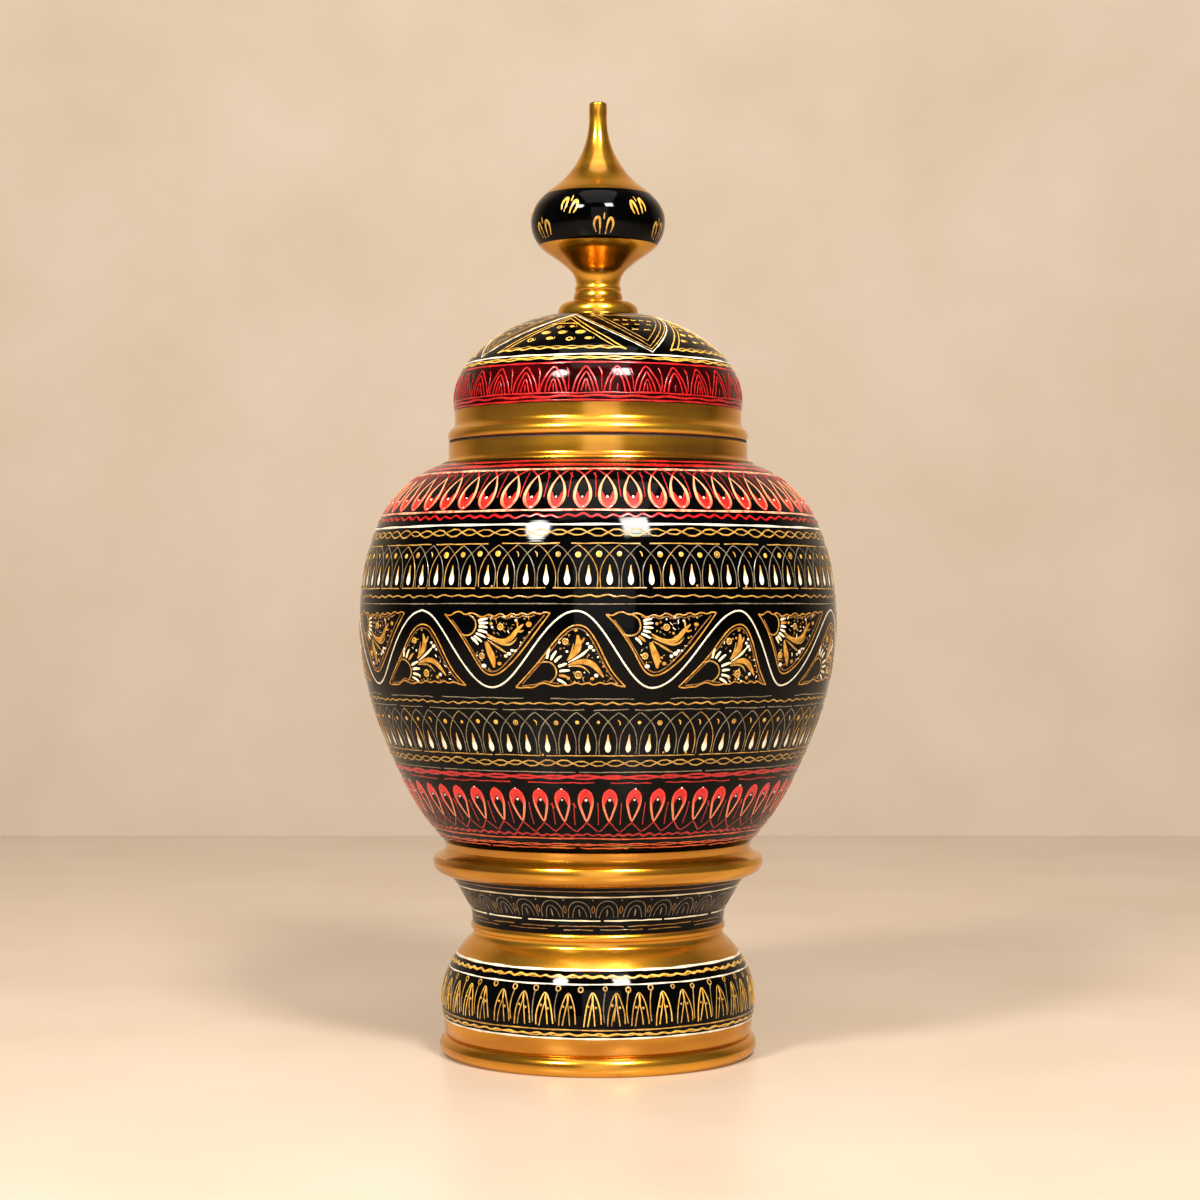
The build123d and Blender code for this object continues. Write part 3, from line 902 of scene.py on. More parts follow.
def drawRedDrops(d):
    sheets = newSheets("redLine", "redFill", d["finish"], "whiteLine")
    h = dropHand
    unit = unitOf(d)
    high, low = d["between"]
    loop = bothSides(d["loop"])
    for i in range(d["count"]):
        x = i * unit + unsteady(h["shift"])
        size = hand.uniform(*h["size"])
        drawn = placed(loop, x, h["loopShake"], wide=size)
        stroke(sheets[d["finish"]], drawn, d["wide"] * hand.uniform(*h["loopWidth"]))
        for side in (d["crescent"], mirrored(d["crescent"])):
            stroke(sheets["redFill"], moved(side, x, scaleX=size), d["fillWide"])
        for side in (d["arc"], mirrored(d["arc"])):
            stroke(sheets["redLine"], placed(side, x, h["arcShake"]), h["arcWidth"])
        gapX = x + unit / 2
        middle = (gapX + unsteady(h["bend"]), (high + low) / 2)
        end = (gapX + unsteady(h["slip"]), low)
        stroke(sheets["redLine"], [(gapX, high), middle, end], h["lineWidth"])
        if hand.random() < h["commas"]:
            leaf(sheets["redLine"], moved(h["comma"], gapX, high), h["commaWidth"])
        for dotX, dotY, dotSize in d["dots"]:
            if dotSize > h["sureDot"] or hand.random() < h["smallDots"]:
                dotX = x + dotX + unsteady(h["dotShift"])
                dot(sheets["whiteLine"], dotX, dotY, dotSize * hand.uniform(*h["dotSize"]))
    return sheets


for drops in redDrops:
    layDown(drops, drawRedDrops(drops), bellySurface, "jar")
print("red drops drawn")

# The vine: a white line between crests and troughs, with a filled panel in each bend. Turns are in degrees
vine = {"name": "vine", "sheetR": 94.5, "crest": 176.7, "trough": 148.1, "width": 0.64, "periods": 9,
        "lean": 0.45, "crests": [-43.7, -4.7, 33.4, 72.5], "troughs": [-25.0, 12.4, 48.1], "bendParts": 10,
        "lifts": {"brownLine": 0.10, "dimLine": 0.11, "amberLine": 0.12, "goldLine": 0.14, "creamLine": 0.15,
                  "brightGold": 0.16, "whiteLine": 0.17}}


def vineTurns():  # degrees of each crest and trough, the listed ones in front and even ones behind
    crests = list(vine["crests"])
    gap = (360 - (crests[-1] - crests[0])) / (vine["periods"] - len(crests) + 1)
    while len(crests) < vine["periods"]:
        crests.append(crests[-1] + gap)
    behind = crests[len(vine["troughs"]):]
    return crests, vine["troughs"] + [crest + gap * vine["lean"] for crest in behind]


# Panels, drawn round their own middle. Left and right: the gaps of the vine that they were drawn for. Leaves:
# points, width, where along it a leaf is fullest, and finish. Rings, golds and whites: place and size of dots
hangingPanel = {
    "left": 28.4, "right": 34.9,
    "outer": [(-17.6, 175.2), (-15.2, 172.9), (-11.8, 168.7), (-7.7, 162.3), (-4.7, 156.8), (-2.6, 153.8),
              (0.4, 152.5), (4.4, 153.6), (9.7, 157.7), (14.6, 162.9), (19.7, 169.3), (24.8, 175.7)],
    "inner": [(-14.6, 173.2), (-10.5, 168.2), (-6.6, 162.1), (-3.9, 157.4), (-2.0, 154.9), (0.5, 153.8),
              (4.0, 154.9), (8.6, 158.9), (13.4, 164.1), (18.2, 170.2), (22.6, 175.0)],
    "edge": [(-17.6, 175.2), (-15.6, 174.5), (-13.4, 175.9), (-11.2, 176.3), (-9.2, 174.9), (-6.8, 175.9),
             (-4.8, 175.3), (-2.4, 174.0), (0.2, 175.4), (2.4, 174.2), (4.8, 176.0), (7.4, 174.1),
             (9.4, 175.7), (11.8, 174.6), (13.8, 176.0), (16.0, 174.8), (18.4, 176.2), (21.0, 175.2),
             (22.8, 176.3), (24.8, 175.7)],
    "edge2": [(-4.6, 174.6), (-2.4, 173.2), (0.4, 174.4), (2.4, 173.4), (5.0, 174.9), (7.6, 173.2),
              (9.8, 174.6), (12.2, 173.6), (14.2, 174.9), (16.4, 173.9), (18.8, 175.0)],
    "disc": (-8.8, 171.3), "arc": (78, -128), "petals": (18, 5, -8, -22, -37, -52, -66), "petalTilt": 0.7,
    "leaves": [([(-0.9, 168.2), (1.7, 166.3), (5.8, 165.0), (9.6, 166.3), (11.6, 169.4), (14.2, 171.6)],
                2.0, 0.6, "amberLine"),
               ([(-1.0, 166.9), (2.6, 165.2), (7.0, 163.9), (10.4, 164.6), (11.8, 166.8)],
                0.8, 0.5, "goldLine"),
               ([(-0.5, 165.6), (2.8, 163.9), (5.4, 162.2), (7.4, 161.2)], 0.95, 0.6, "goldLine"),
               ([(-0.9, 165.2), (0.3, 161.5), (1.5, 158.6), (1.8, 155.6)], 2.9, 0.55, "amberLine"),
               ([(-1.4, 165.0), (-1.0, 162.0), (-0.1, 159.2)], 0.8, 0.5, "goldLine"),
               ([(11.4, 169.4), (13.2, 168.6), (14.6, 169.4)], 1.2, 0.5, "amberLine"),
               ([(12.0, 170.4), (12.2, 172.4), (11.4, 173.4)], 1.2, 0.5, "amberLine")],
    "rings": [(4.9, 170.6, 2.6), (-3.0, 159.9, 2.5)],
    "golds": [(16.6, 171.6, 2.0), (4.2, 157.2, 1.8), (1.2, 171.9, 1.3)],
    "whites": [(-2.3, 156.1, 1.9), (8.4, 160.8, 1.9), (6.9, 159.9, 1.3), (9.6, 161.9, 1.3),
               (10.9, 161.9, 1.1), (11.4, 173.0, 1.0)],
}
standingPanel = {
    "left": 33.7, "right": 28.4,
    "outer": [(-23.6, 148.5), (-18.6, 153.4), (-13.3, 158.8), (-8.6, 164.8), (-4.4, 169.8), (-0.4, 171.7),
              (3.2, 170.9), (5.6, 168.4), (7.9, 164.4), (10.8, 158.3), (13.8, 153.0), (18.1, 148.8)],
    "inner": [(-21.0, 149.8), (-17.4, 153.2), (-12.4, 158.4), (-7.7, 164.2), (-3.9, 168.7), (-0.3, 170.4),
              (2.6, 169.7), (4.6, 167.6), (6.8, 163.8), (9.6, 157.9), (12.4, 152.8), (15.4, 149.8)],
    "edge": [(-23.6, 148.5), (-21.4, 148.0), (-19.2, 148.5), (-16.8, 148.3), (-14.4, 149.8), (-12.2, 150.2),
             (-10.0, 149.2), (-7.4, 148.9), (-5.0, 149.6), (-2.6, 149.2), (-0.4, 150.6), (1.8, 149.4),
             (4.0, 150.4), (6.2, 149.2), (8.6, 150.6), (10.6, 149.4), (12.8, 150.4), (15.0, 149.2),
             (18.1, 148.8)],
    "edge2": [(-21.0, 149.0), (-18.4, 149.4), (-15.6, 149.3), (-12.4, 151.1), (-9.6, 150.3), (-6.8, 149.9)],
    "disc": (-11.6, 154.1), "arc": (125, -72), "petals": (84, 66, 48, 22, 4, -14, -32), "petalTilt": 0.85,
    "leaves": [([(-3.3, 158.6), (-0.6, 161.0), (1.2, 164.2), (0.4, 167.8)], 2.7, 0.6, "amberLine"),
               ([(-3.4, 158.4), (-1.6, 161.6), (-1.2, 164.6)], 0.8, 0.5, "goldLine"),
               ([(0.6, 164.0), (2.4, 165.2), (2.8, 166.8)], 1.3, 0.5, "amberLine"),
               ([(-3.0, 157.7), (0.4, 159.6), (3.0, 161.4), (4.6, 162.8)], 1.05, 0.6, "creamLine"),
               ([(-3.2, 156.8), (0.8, 158.2), (4.8, 157.8), (7.8, 155.2), (9.8, 152.4)],
                2.1, 0.5, "amberLine"),
               ([(-3.2, 156.2), (0.0, 156.6), (3.4, 155.8), (4.8, 153.6)], 0.8, 0.5, "goldLine")],
    "rings": [(-4.2, 165.3, 2.5), (0.4, 153.1, 3.0)],
    "golds": [(-0.2, 169.4, 1.2), (5.8, 151.7, 1.5), (-3.2, 151.8, 1.3)],
    "whites": [(5.2, 163.2, 1.8), (4.2, 164.5, 1.3), (6.3, 162.0, 1.2), (7.2, 152.8, 1.5),
               (-3.6, 161.6, 1.0)],
}
# What the panels share: their edges, half disc, leaves and marks, then the petals and the small filling
panelEdges = {"outer": ("amberLine", 0.5), "inner": ("brownLine", 0.42), "edge": ("amberLine", 0.5),
              "edge2": ("brownLine", 0.42)}
panelHand = {"shake": 0.13, "discR": 4.0, "discParts": 9, "discWidth": 0.55, "leafWidth": (0.9, 1.1),
             "leafEnds": (0.22, 0.25), "veinFrom": 1.9, "veinWidth": 0.55, "vein": (0.35, 0.3),
             "ringShare": 0.85, "ringWidth": 0.5, "eyeShare": 0.4, "dotSize": (0.85, 1.1),
             "dotSquash": (0.75, 1.0)}
petals = {"from": 5.1, "long": (3.2, 3.9), "wide": (1.15, 1.4), "bow": 0.25, "amber": 0.16,
          "swell": (0.6, 0.4, 0.6)}
filler = {"mesh": 1.75, "span": 40, "shift": 0.35, "foot": 0.8, "clear": 1.45, "discClear": 9.6,
          "pens": ("dimLine", "brownLine", "amberLine", "brownLine", "goldLine", "creamLine"),
          "reach": (0.4, 0.85), "dots": 0.45, "dotSize": (0.5, 1.0), "bow": 0.4, "width": (0.45, 0.8)}


def insideOutline(x, y, outline, top):  # whether a point lies well inside a panel
    inside = False
    points = outline + [(outline[-1][0], top), (outline[0][0], top)]
    for (x0, y0), (x1, y1) in zip(points, points[1:] + points[:1]):
        if (y0 > y) != (y1 > y) and x < (x1 - x0) * (y - y0) / (y1 - y0) + x0:
            inside = not inside
    return inside


def drawPetals(sheets, panel, fit):  # white strokes that stand out from the black half disc
    discX, discY = panel["disc"]
    for degrees in panel["petals"]:
        a, tilt = math.radians(degrees), math.radians(degrees * panel["petalTilt"])
        baseX, baseY = discX + petals["from"] * math.cos(a), discY + petals["from"] * math.sin(a)
        length = hand.uniform(*petals["long"])
        tip = (baseX + length * math.cos(tilt), baseY + length * math.sin(tilt))
        middleX = (baseX + tip[0]) / 2 - petals["bow"] * math.sin(tilt)
        middle = (middleX, (baseY + tip[1]) / 2 + petals["bow"])
        pen = "amberLine" if hand.random() < petals["amber"] else "creamLine"
        drawn = fit([(baseX, baseY), middle, tip])
        leaf(sheets[pen], drawn, hand.uniform(*petals["wide"]), *petals["swell"])


def drawFiller(sheets, panel, fit):  # small commas, curls and specks in what is left of the panel
    f = filler
    discX, discY = panel["disc"]
    taken = [p[:2] for part in panel["leaves"] for p in part[0]]
    taken += [(p[0], p[1]) for part in ("rings", "golds", "whites") for p in panel[part]]
    for points, *rest in panel["leaves"]:
        taken += [((a[0] + b[0]) / 2, (a[1] + b[1]) / 2) for a, b in zip(points, points[1:])]
    low, high = min(p[1] for p in panel["inner"]), max(p[1] for p in panel["inner"])
    edgeHeight = panel["outer"][0][1]
    for row in range(int((high - low) / f["mesh"])):
        for column in range(int(f["span"] / f["mesh"])):
            x = -f["span"] / 2 + (column + unsteady(f["shift"])) * f["mesh"]
            y = low + f["foot"] + (row + unsteady(f["shift"])) * f["mesh"]
            clear = min(math.hypot(x - p[0], y - p[1]) for p in taken) > f["clear"]
            if not clear or math.hypot(x - discX, y - discY) < f["discClear"]:
                continue
            if not insideOutline(x, y, panel["inner"], edgeHeight):
                continue
            pen = hand.choice(f["pens"])
            turn = hand.uniform(0, fullTurn)
            reach = hand.uniform(*f["reach"])
            if hand.random() < f["dots"]:
                dot(sheets[pen], *fit([(x, y)])[0], hand.uniform(*f["dotSize"]))
            else:
                aheadX, aheadY, bow = math.cos(turn) * reach, math.sin(turn) * reach, unsteady(f["bow"])
                comma = [(x - aheadX, y - aheadY), (x + bow, y - bow), (x + aheadX, y + aheadY)]
                leaf(sheets[pen], fit(comma), hand.uniform(*f["width"]))


def drawPanel(sheets, panel, centre, leftGap, rightGap):
    h = panelHand

    def fit(points):  # the panel is as wide as its bend of the vine
        fitted = []
        for p in points:
            scale = (leftGap / panel["left"]) if p[0] < 0 else (rightGap / panel["right"])
            fitted.append((centre + p[0] * scale, p[1]) + tuple(p[2:]))
        return shaken(fitted, h["shake"])

    for part, (pen, width) in panelEdges.items():
        stroke(sheets[pen], fit(panel[part]), width)
    discX, discY = panel["disc"]
    first, last = panel["arc"]
    arc = []
    for a in np.linspace(math.radians(first), math.radians(last), h["discParts"]):
        arc.append((discX + h["discR"] * math.cos(a), discY + h["discR"] * math.sin(a)))
    stroke(sheets["goldLine"], fit(arc), h["discWidth"])
    drawPetals(sheets, panel, fit)
    for points, width, fullest, pen in panel["leaves"]:
        leaf(sheets[pen], fit(points), width * hand.uniform(*h["leafWidth"]), *h["leafEnds"], fullest)
        if width > h["veinFrom"]:  # a paler vein along the broad leaves
            leaf(sheets["brightGold"], fit(moved(points[1:-1], *h["vein"])), h["veinWidth"])
    for x, y, size in panel["rings"]:
        place = fit([(x, y)])[0]
        dot(sheets["brownLine"], *place, size)
        ring(sheets["brightGold"], *place, size * h["ringShare"], h["ringWidth"])
        dot(sheets["brightGold"], *place, size * h["eyeShare"])
    for pen, marks in (("amberLine", panel["golds"]), ("whiteLine", panel["whites"])):
        for x, y, size in marks:
            place = fit([(x, y)])[0]
            dot(sheets[pen], *place, size * hand.uniform(*h["dotSize"]), hand.uniform(*h["dotSquash"]))
    drawFiller(sheets, panel, fit)


def drawVine():
    sheets = newSheets("whiteLine", "creamLine", "brightGold", "goldLine", "amberLine", "brownLine",
                       "dimLine")
    crests, troughs = vineTurns()
    perDegree = math.radians(1) * vine["sheetR"]
    turns = []
    before = troughs[-1] - 360
    for crest, trough, following in zip(crests, troughs, crests[1:] + [crests[0] + 360]):
        rise, fall, climb = (gap * perDegree for gap in (crest - before, trough - crest, following - trough))
        drawPanel(sheets, standingPanel, crest * perDegree, rise, fall)
        drawPanel(sheets, hangingPanel, trough * perDegree, fall, climb)
        turns += [(crest, vine["crest"]), (trough, vine["trough"])]
        before = trough
    turns.append((crests[0] + 360, vine["crest"]))
    line = []
    for (t0, y0), (t1, y1) in zip(turns, turns[1:]):
        for step in range(vine["bendParts"]):
            s = step / vine["bendParts"]
            ease = (1 - math.cos(math.pi * s)) / 2
            line.append(((t0 + (t1 - t0) * s) * perDegree, y0 + (y1 - y0) * ease))
    line.append((turns[-1][0] * perDegree, turns[-1][1]))
    stroke(sheets["whiteLine"], line, vine["width"])
    return sheets


layDown(vine, drawVine(), bellySurface, "jar")
print("vine drawn")

# Foot: gold lancets between lines
footBand = {"name": "foot", "count": 42, "sheetR": 61.5, "first": -2.0, "shift": 0.35, "brightLancets": 0.6,
            "outer": [(-3.7, 19.6), (-3.5, 23.5), (-2.2, 28.6), (0, 33.0), (2.3, 28.4), (3.5, 23.8),
                      (3.7, 20.3)],
            "wide": (0.8, 0.98), "lean": 0.35, "leanFrom": 19.6, "leanOver": 13, "outerShake": 0.22,
            "outerWidth": (0.42, 0.56),
            "legs": [[(0.1, 28.6), (-1.2, 25.2), (-2.1, 19.6)], [(0.1, 28.6), (0.8, 24.8), (1.3, 19.9)],
                     [(-0.2, 28.0), (-0.4, 24.5), (-0.9, 21.5)]],
            "thirdLegs": 0.35, "legShake": 0.25, "legWidth": (0.38, 0.5),
            "bud": [(0.0, 31.4), (0.1, 29.6), (0.1, 27.6)], "budShake": 0.1, "budWidth": 1.2,
            "dots": ((-1.5, 27.0), (1.3, 26.2)), "dotShift": 0.6, "dotSize": (0.7, 1.1),
            "stem": [(4.9, 32.6), (4.2, 29.5), (3.9, 25.0), (4.3, 21.0)], "stems": 0.8, "stemShake": 0.3,
            "stemWidth": 0.42, "ringAt": (4.9, 33.4), "ringUp": (-0.4, 0.3), "ringSize": (1.5, 2.1),
            "ringWidth": 0.5,
            "rings": [("whiteLine", "ring", 40.0, 0.75), ("whiteLine", "ring", 34.9, 0.5),
                      ("whiteLine", "ring", 14.75, 0.7, 0.05), ("goldLine", "ring", 18.1, 0.5),
                      ("brightGold", "wave", 37.7, 0.7, 0.75, 5.5),
                      ("goldLine", "wave", 37.4, 0.42, 0.6, 8.0),
                      ("brightGold", "wave", 16.4, 0.65, 0.6, 6.0),
                      ("goldLine", "wave", 16.1, 0.42, 0.6, 9.0)]}


def drawFoot():
    sheets = newSheets("brightGold", "goldLine", "dimLine", "whiteLine")
    f = footBand
    for i in range(f["count"]):
        x = i * unitOf(f) + unsteady(f["shift"])
        pen = "brightGold" if hand.random() < f["brightLancets"] else "goldLine"
        wide, lean = hand.uniform(*f["wide"]), unsteady(f["lean"])
        outer = [(px + lean * (py - f["leanFrom"]) / f["leanOver"], py) for px, py in f["outer"]]
        stroke(sheets[pen], placed(outer, x, f["outerShake"], wide), hand.uniform(*f["outerWidth"]))
        for leg in f["legs"][: 2 + (hand.random() < f["thirdLegs"])]:
            stroke(sheets[pen], placed(leg, x, f["legShake"], wide), hand.uniform(*f["legWidth"]))
        leaf(sheets["brightGold"], placed(f["bud"], x, f["budShake"]), f["budWidth"])
        for dotX, dotY in f["dots"]:
            dotY += unsteady(f["dotShift"])
            dot(sheets["goldLine"], x + dotX, dotY, hand.uniform(*f["dotSize"]))
        if hand.random() < f["stems"]:
            pen = hand.choice(("dimLine", "goldLine"))
            stroke(sheets[pen], placed(f["stem"], x, f["stemShake"]), f["stemWidth"])
        ringX, ringY = f["ringAt"]
        ringY += hand.uniform(*f["ringUp"])
        ring(sheets["goldLine"], x + ringX, ringY, hand.uniform(*f["ringSize"]), f["ringWidth"])
    return drawRings(sheets, f)


layDown(footBand, drawFoot(), surfaceOf(footOutside()), "jar")

# Waist: dim rounded arches, two by two
waistBand = {"name": "waist", "count": 31, "sheetR": 54.0, "first": 4.0, "shift": 0.3, "shake": 0.2,
             "outer": bothSides([(-4.5, 59.3), (-4.4, 62.2), (-2.9, 65.2), (0, 66.3)]),
             "inner": bothSides([(-2.9, 59.4), (-2.3, 62.6), (0, 64.6)]),
             "outerWidth": 0.36, "innerWidth": 0.32,
             "bud": [(0, 59.8), (0.1, 61.0), (0, 62.8)], "budShake": 0.15, "budWidth": 1.1,
             "loop": [(0, 64.6), (-0.75, 62.4), (0, 60.6), (0.75, 62.4)], "loopWidth": 0.4,
             "dotAt": 66.4, "dotSize": (0.6, 0.9),
             "rings": [("creamLine", "ring", 67.6, 0.55), ("brownLine", "ring", 69.8, 0.4),
                       ("creamLine", "broken", 58.0, 0.55, 24.0, 2.2, 0.1),
                       ("brownLine", "broken", 55.8, 0.42, 20.0, 3.0, 0.2),
                       ("brownLine", "broken", 54.4, 0.35, 14.0, 6.0, 0.2)]}


def drawWaist():
    sheets = newSheets("dimLine", "creamLine", "brownLine")
    w = waistBand
    for i in range(w["count"]):
        x = i * unitOf(w) + unsteady(w["shift"])
        for part in ("outer", "inner"):
            stroke(sheets["dimLine"], placed(w[part], x, w["shake"]), w[part + "Width"])
        leaf(sheets["dimLine"], placed(w["bud"], x, w["budShake"]), w["budWidth"])
        gapX = x + unitOf(w) / 2
        stroke(sheets["brownLine"], moved(w["loop"], gapX), w["loopWidth"], closed=True)
        dot(sheets["dimLine"], gapX, w["dotAt"], hand.uniform(*w["dotSize"]))
    return drawRings(sheets, w)


layDown(waistBand, drawWaist(), surfaceOf(waistOutside()), "jar")
print("foot and waist drawn")

# Lid: red arches in the band, and lines round it
lidBand = {"name": "lid_band", "count": 30, "sheetR": 57.0, "first": 7.0, "shift": 0.5, "wide": (0.88, 1.08),
           "outer": bothSides([(-5.2, 259.6), (-4.5, 263.2), (-2.4, 267.0), (0, 270.2)]),
           "inner": bothSides([(-3.3, 259.6), (-2.7, 263.0), (-1.2, 265.6), (0, 267.8)]),
           "core": bothSides([(-1.7, 259.8), (-1.2, 262.0), (0, 265.4)]),
           "widths": (("outer", 0.62), ("inner", 0.56), ("core", 0.5)), "archShake": 0.25,
           "archWidth": (0.85, 1.2), "coreless": 0.2,
           "bud": [(0, 262.8), (0.1, 261.4), (0, 259.8)], "budShake": 0.15, "budWidth": 0.8,
           "comma": [(-0.9, 269.0), (0, 267.8), (0.2, 265.6)], "commaWidth": 1.0, "gapShake": 0.2,
           "stem": [(0, 266.0), (0.2, 263.0), (0, 260.4)], "stemWidth": 0.42,
           "rings": [("brightRed", "ring", 271.0, 0.6), ("brightRed", "ring", 259.2, 0.55, 0.2),
                     ("brightRed", "wave", 257.9, 0.8, 0.5, 14.0), ("brightRed", "ring", 256.4, 0.6),
                     ("brightGold", "wave", 272.6, 0.5, 0.5, 9.0),
                     ("brightGold", "wave", 273.2, 0.45, 0.5, 11.0),
                     ("whiteLine", "ring", 274.3, 0.6)]}


def drawLidBand():
    sheets = newSheets("redLine", "brightRed", "brightGold", "whiteLine")
    b = lidBand
    for i in range(b["count"]):
        x = i * unitOf(b) + unsteady(b["shift"])
        wide = hand.uniform(*b["wide"])
        for part, width in b["widths"]:
            if part == "core" and hand.random() < b["coreless"]:
                continue
            drawn = placed(b[part], x, b["archShake"], wide)
            stroke(sheets["brightRed"], drawn, width * hand.uniform(*b["archWidth"]))
        leaf(sheets["brightRed"], placed(b["bud"], x, b["budShake"]), b["budWidth"])
        gapX = x + unitOf(b) / 2
        leaf(sheets["brightRed"], placed(b["comma"], gapX, b["gapShake"]), b["commaWidth"])
        stroke(sheets["redLine"], placed(b["stem"], gapX, b["gapShake"]), b["stemWidth"])
    return drawRings(sheets, b)


layDown(lidBand, drawLidBand(), surfaceOf(domeShell), "lid")

# Crown of the lid: a white zigzag with a gold panel in each bend. Heights here are lengths up the dome
crown = {"name": "crown", "sheetR": 42.0, "lows": [-60.5, 23.6, 92.0, 161.0, 230.0], "lowR": 52.3,
         "highR": 27.5, "corner": 0.73, "sideParts": 8, "sideSwell": (0.85, 1.15), "shake": 0.14,
         "sideInset": 1.5, "peakInset": 1.6, "scallopHigh": (0.7, 1.2), "zigzagWidth": 0.62,
         "echoUp": 1.5, "echoWidth": 0.42, "lifts": {"whiteLine": 0.16, "goldLine": 0.11}}
# Rows of marks: height as a share of the panel, how many, and in the standing panel their size. Its scallops:
# share of the width, height above the foot, height of a scallop, how many, finish and width
standing = {"foot": 1.3, "top": 2.6, "sides": ((0.0, 0.62), (1.9, 0.48)), "baseInset": 0.35,
            "rows": ((0.25, 4, 2.6), (0.42, 3, 3.4), (0.58, 2, 2.4)), "dots": 0.6, "dotSize": (0.8, 1.1),
            "dotSquash": (0.6, 0.85), "ringShare": 0.8, "ringWidth": 0.55, "shiftX": 0.6, "shiftY": 0.5,
            "reach": 0.93, "narrowing": 1.15, "comma": [(1.4, -0.8), (2.2, 0), (1.7, 1.0)],
            "commaWidth": 0.6, "scallops": ((1.0, 0.0, 1.5, 8, "brightGold", 0.75),
                                            (0.8, 1.2, 1.2, 7, "goldLine", 0.45)),
            "barAt": 0.7, "bar": ((-0.3, -0.6), (-0.05, 0.5), (0.24, -0.6)), "barSwell": (1.0, 0.5, 0.5, 0.5)}
hanging = {"foot": 3.4, "top": 0.6, "sides": ((0.0, 0.55), (2.0, 0.42)), "browInset": 0.3,
           "scallop": (-1.2, 6), "scallopWidth": 0.5, "rows": ((0.42, 2), (0.58, 3), (0.74, 5)),
           "rowsFrom": 0.12, "reach": 0.86, "shift": 0.3,
           "bow": [(-1.3, -0.5), (0, 0.7), (1.3, -0.5)], "bowWidth": 0.7,
           "dip": [(-1.0, 0.8), (0.2, -0.9), (1.2, 0.6)], "dipWidth": 0.42}
crownSurface = surfaceOf(domeShell, byLength=True)


def upTheDome(radius):  # length along the dome's outline at that radius, above its widest
    above = crownSurface["z"] > dome["widest"][1]
    return float(np.interp(-radius, -crownSurface["r"][above], crownSurface["key"][above]))


def straightRun(corners):  # points along straight sides, so that they follow the dome
    points = []
    parts = crown["sideParts"]
    for (x0, y0), (x1, y1) in zip(corners, corners[1:]):
        for i in range(parts):
            thick = hand.uniform(*crown["sideSwell"])
            points.append((x0 + (x1 - x0) * i / parts, y0 + (y1 - y0) * i / parts, thick))
    return points + [corners[-1] + (1.0,)]


def scallops(x0, x1, y, high, count):  # a wavy edge between two corners
    points = []
    for k in range(count * 2 + 1):
        rise = high * hand.uniform(*crown["scallopHigh"]) if k % 2 else 0
        points.append((x0 + (x1 - x0) * k / (count * 2), y + rise))
    return points


def drawSides(drawing, x, wide, inset, base, peak, width):  # two straight sides that meet at the peak
    wide -= inset * crown["sideInset"]
    corners = [(x - wide, base), (x, peak), (x + wide, base)]
    stroke(drawing, shaken(straightRun(corners), crown["shake"]), width, straight=True)


def drawStanding(sheets, x, half, low, high):  # a gold panel that stands in a bend of the zigzag
    s = standing
    wide = half * crown["corner"]
    foot, top = low + s["foot"], high - s["top"]
    tall = top - foot
    for inset, width in s["sides"]:
        base, peak = foot + inset * s["baseInset"], top - inset * crown["peakInset"]
        drawSides(sheets["brightGold"], x, wide, inset, base, peak, width)
    for share, up, rise, count, finish, width in s["scallops"]:
        stroke(sheets[finish], scallops(x - wide * share, x + wide * share, foot + up, rise, count), width)
    for row, count, size in s["rows"]:
        reach = wide * (s["reach"] - row * s["narrowing"])
        for k in range(count):
            px = x + reach * (2 * (k + 0.5) / count - 1) + unsteady(s["shiftX"])
            py = foot + tall * row + unsteady(s["shiftY"])
            if hand.random() < s["dots"]:
                dotSize = size * hand.uniform(*s["dotSize"])
                dot(sheets["brightGold"], px, py, dotSize, hand.uniform(*s["dotSquash"]))
            else:
                ring(sheets["brightGold"], px, py, size * s["ringShare"], s["ringWidth"])
            leaf(sheets["goldLine"], moved(s["comma"], px, py), s["commaWidth"])
    barY = foot + tall * s["barAt"]
    leaf(sheets["brightGold"], moved(s["bar"], x, barY, scaleX=wide), *s["barSwell"])


def drawHanging(sheets, x, half, low, high):  # a gold panel that hangs in a bend of the zigzag
    s = hanging
    wide = half * crown["corner"]
    foot, top = low + s["foot"], high - s["top"]
    tall = top - foot
    for inset, width in s["sides"]:
        brow, peak = top - inset * s["browInset"], foot + inset * crown["peakInset"]
        drawSides(sheets["goldLine"], x, wide, inset, brow, peak, width)
    stroke(sheets["goldLine"], scallops(x - wide, x + wide, top, *s["scallop"]), s["scallopWidth"])
    for row, count in s["rows"]:
        reach = wide * (row - s["rowsFrom"]) * s["reach"]
        for k in range(count):
            px = x + reach * (2 * (k + 0.5) / count - 1) + unsteady(s["shift"])
            py = foot + tall * row + unsteady(s["shift"])
            leaf(sheets["brightGold"], shaken(moved(s["bow"], px, py), s["shift"]), s["bowWidth"])
            stroke(sheets["goldLine"], shaken(moved(s["dip"], px, py), s["shift"]), s["dipWidth"])


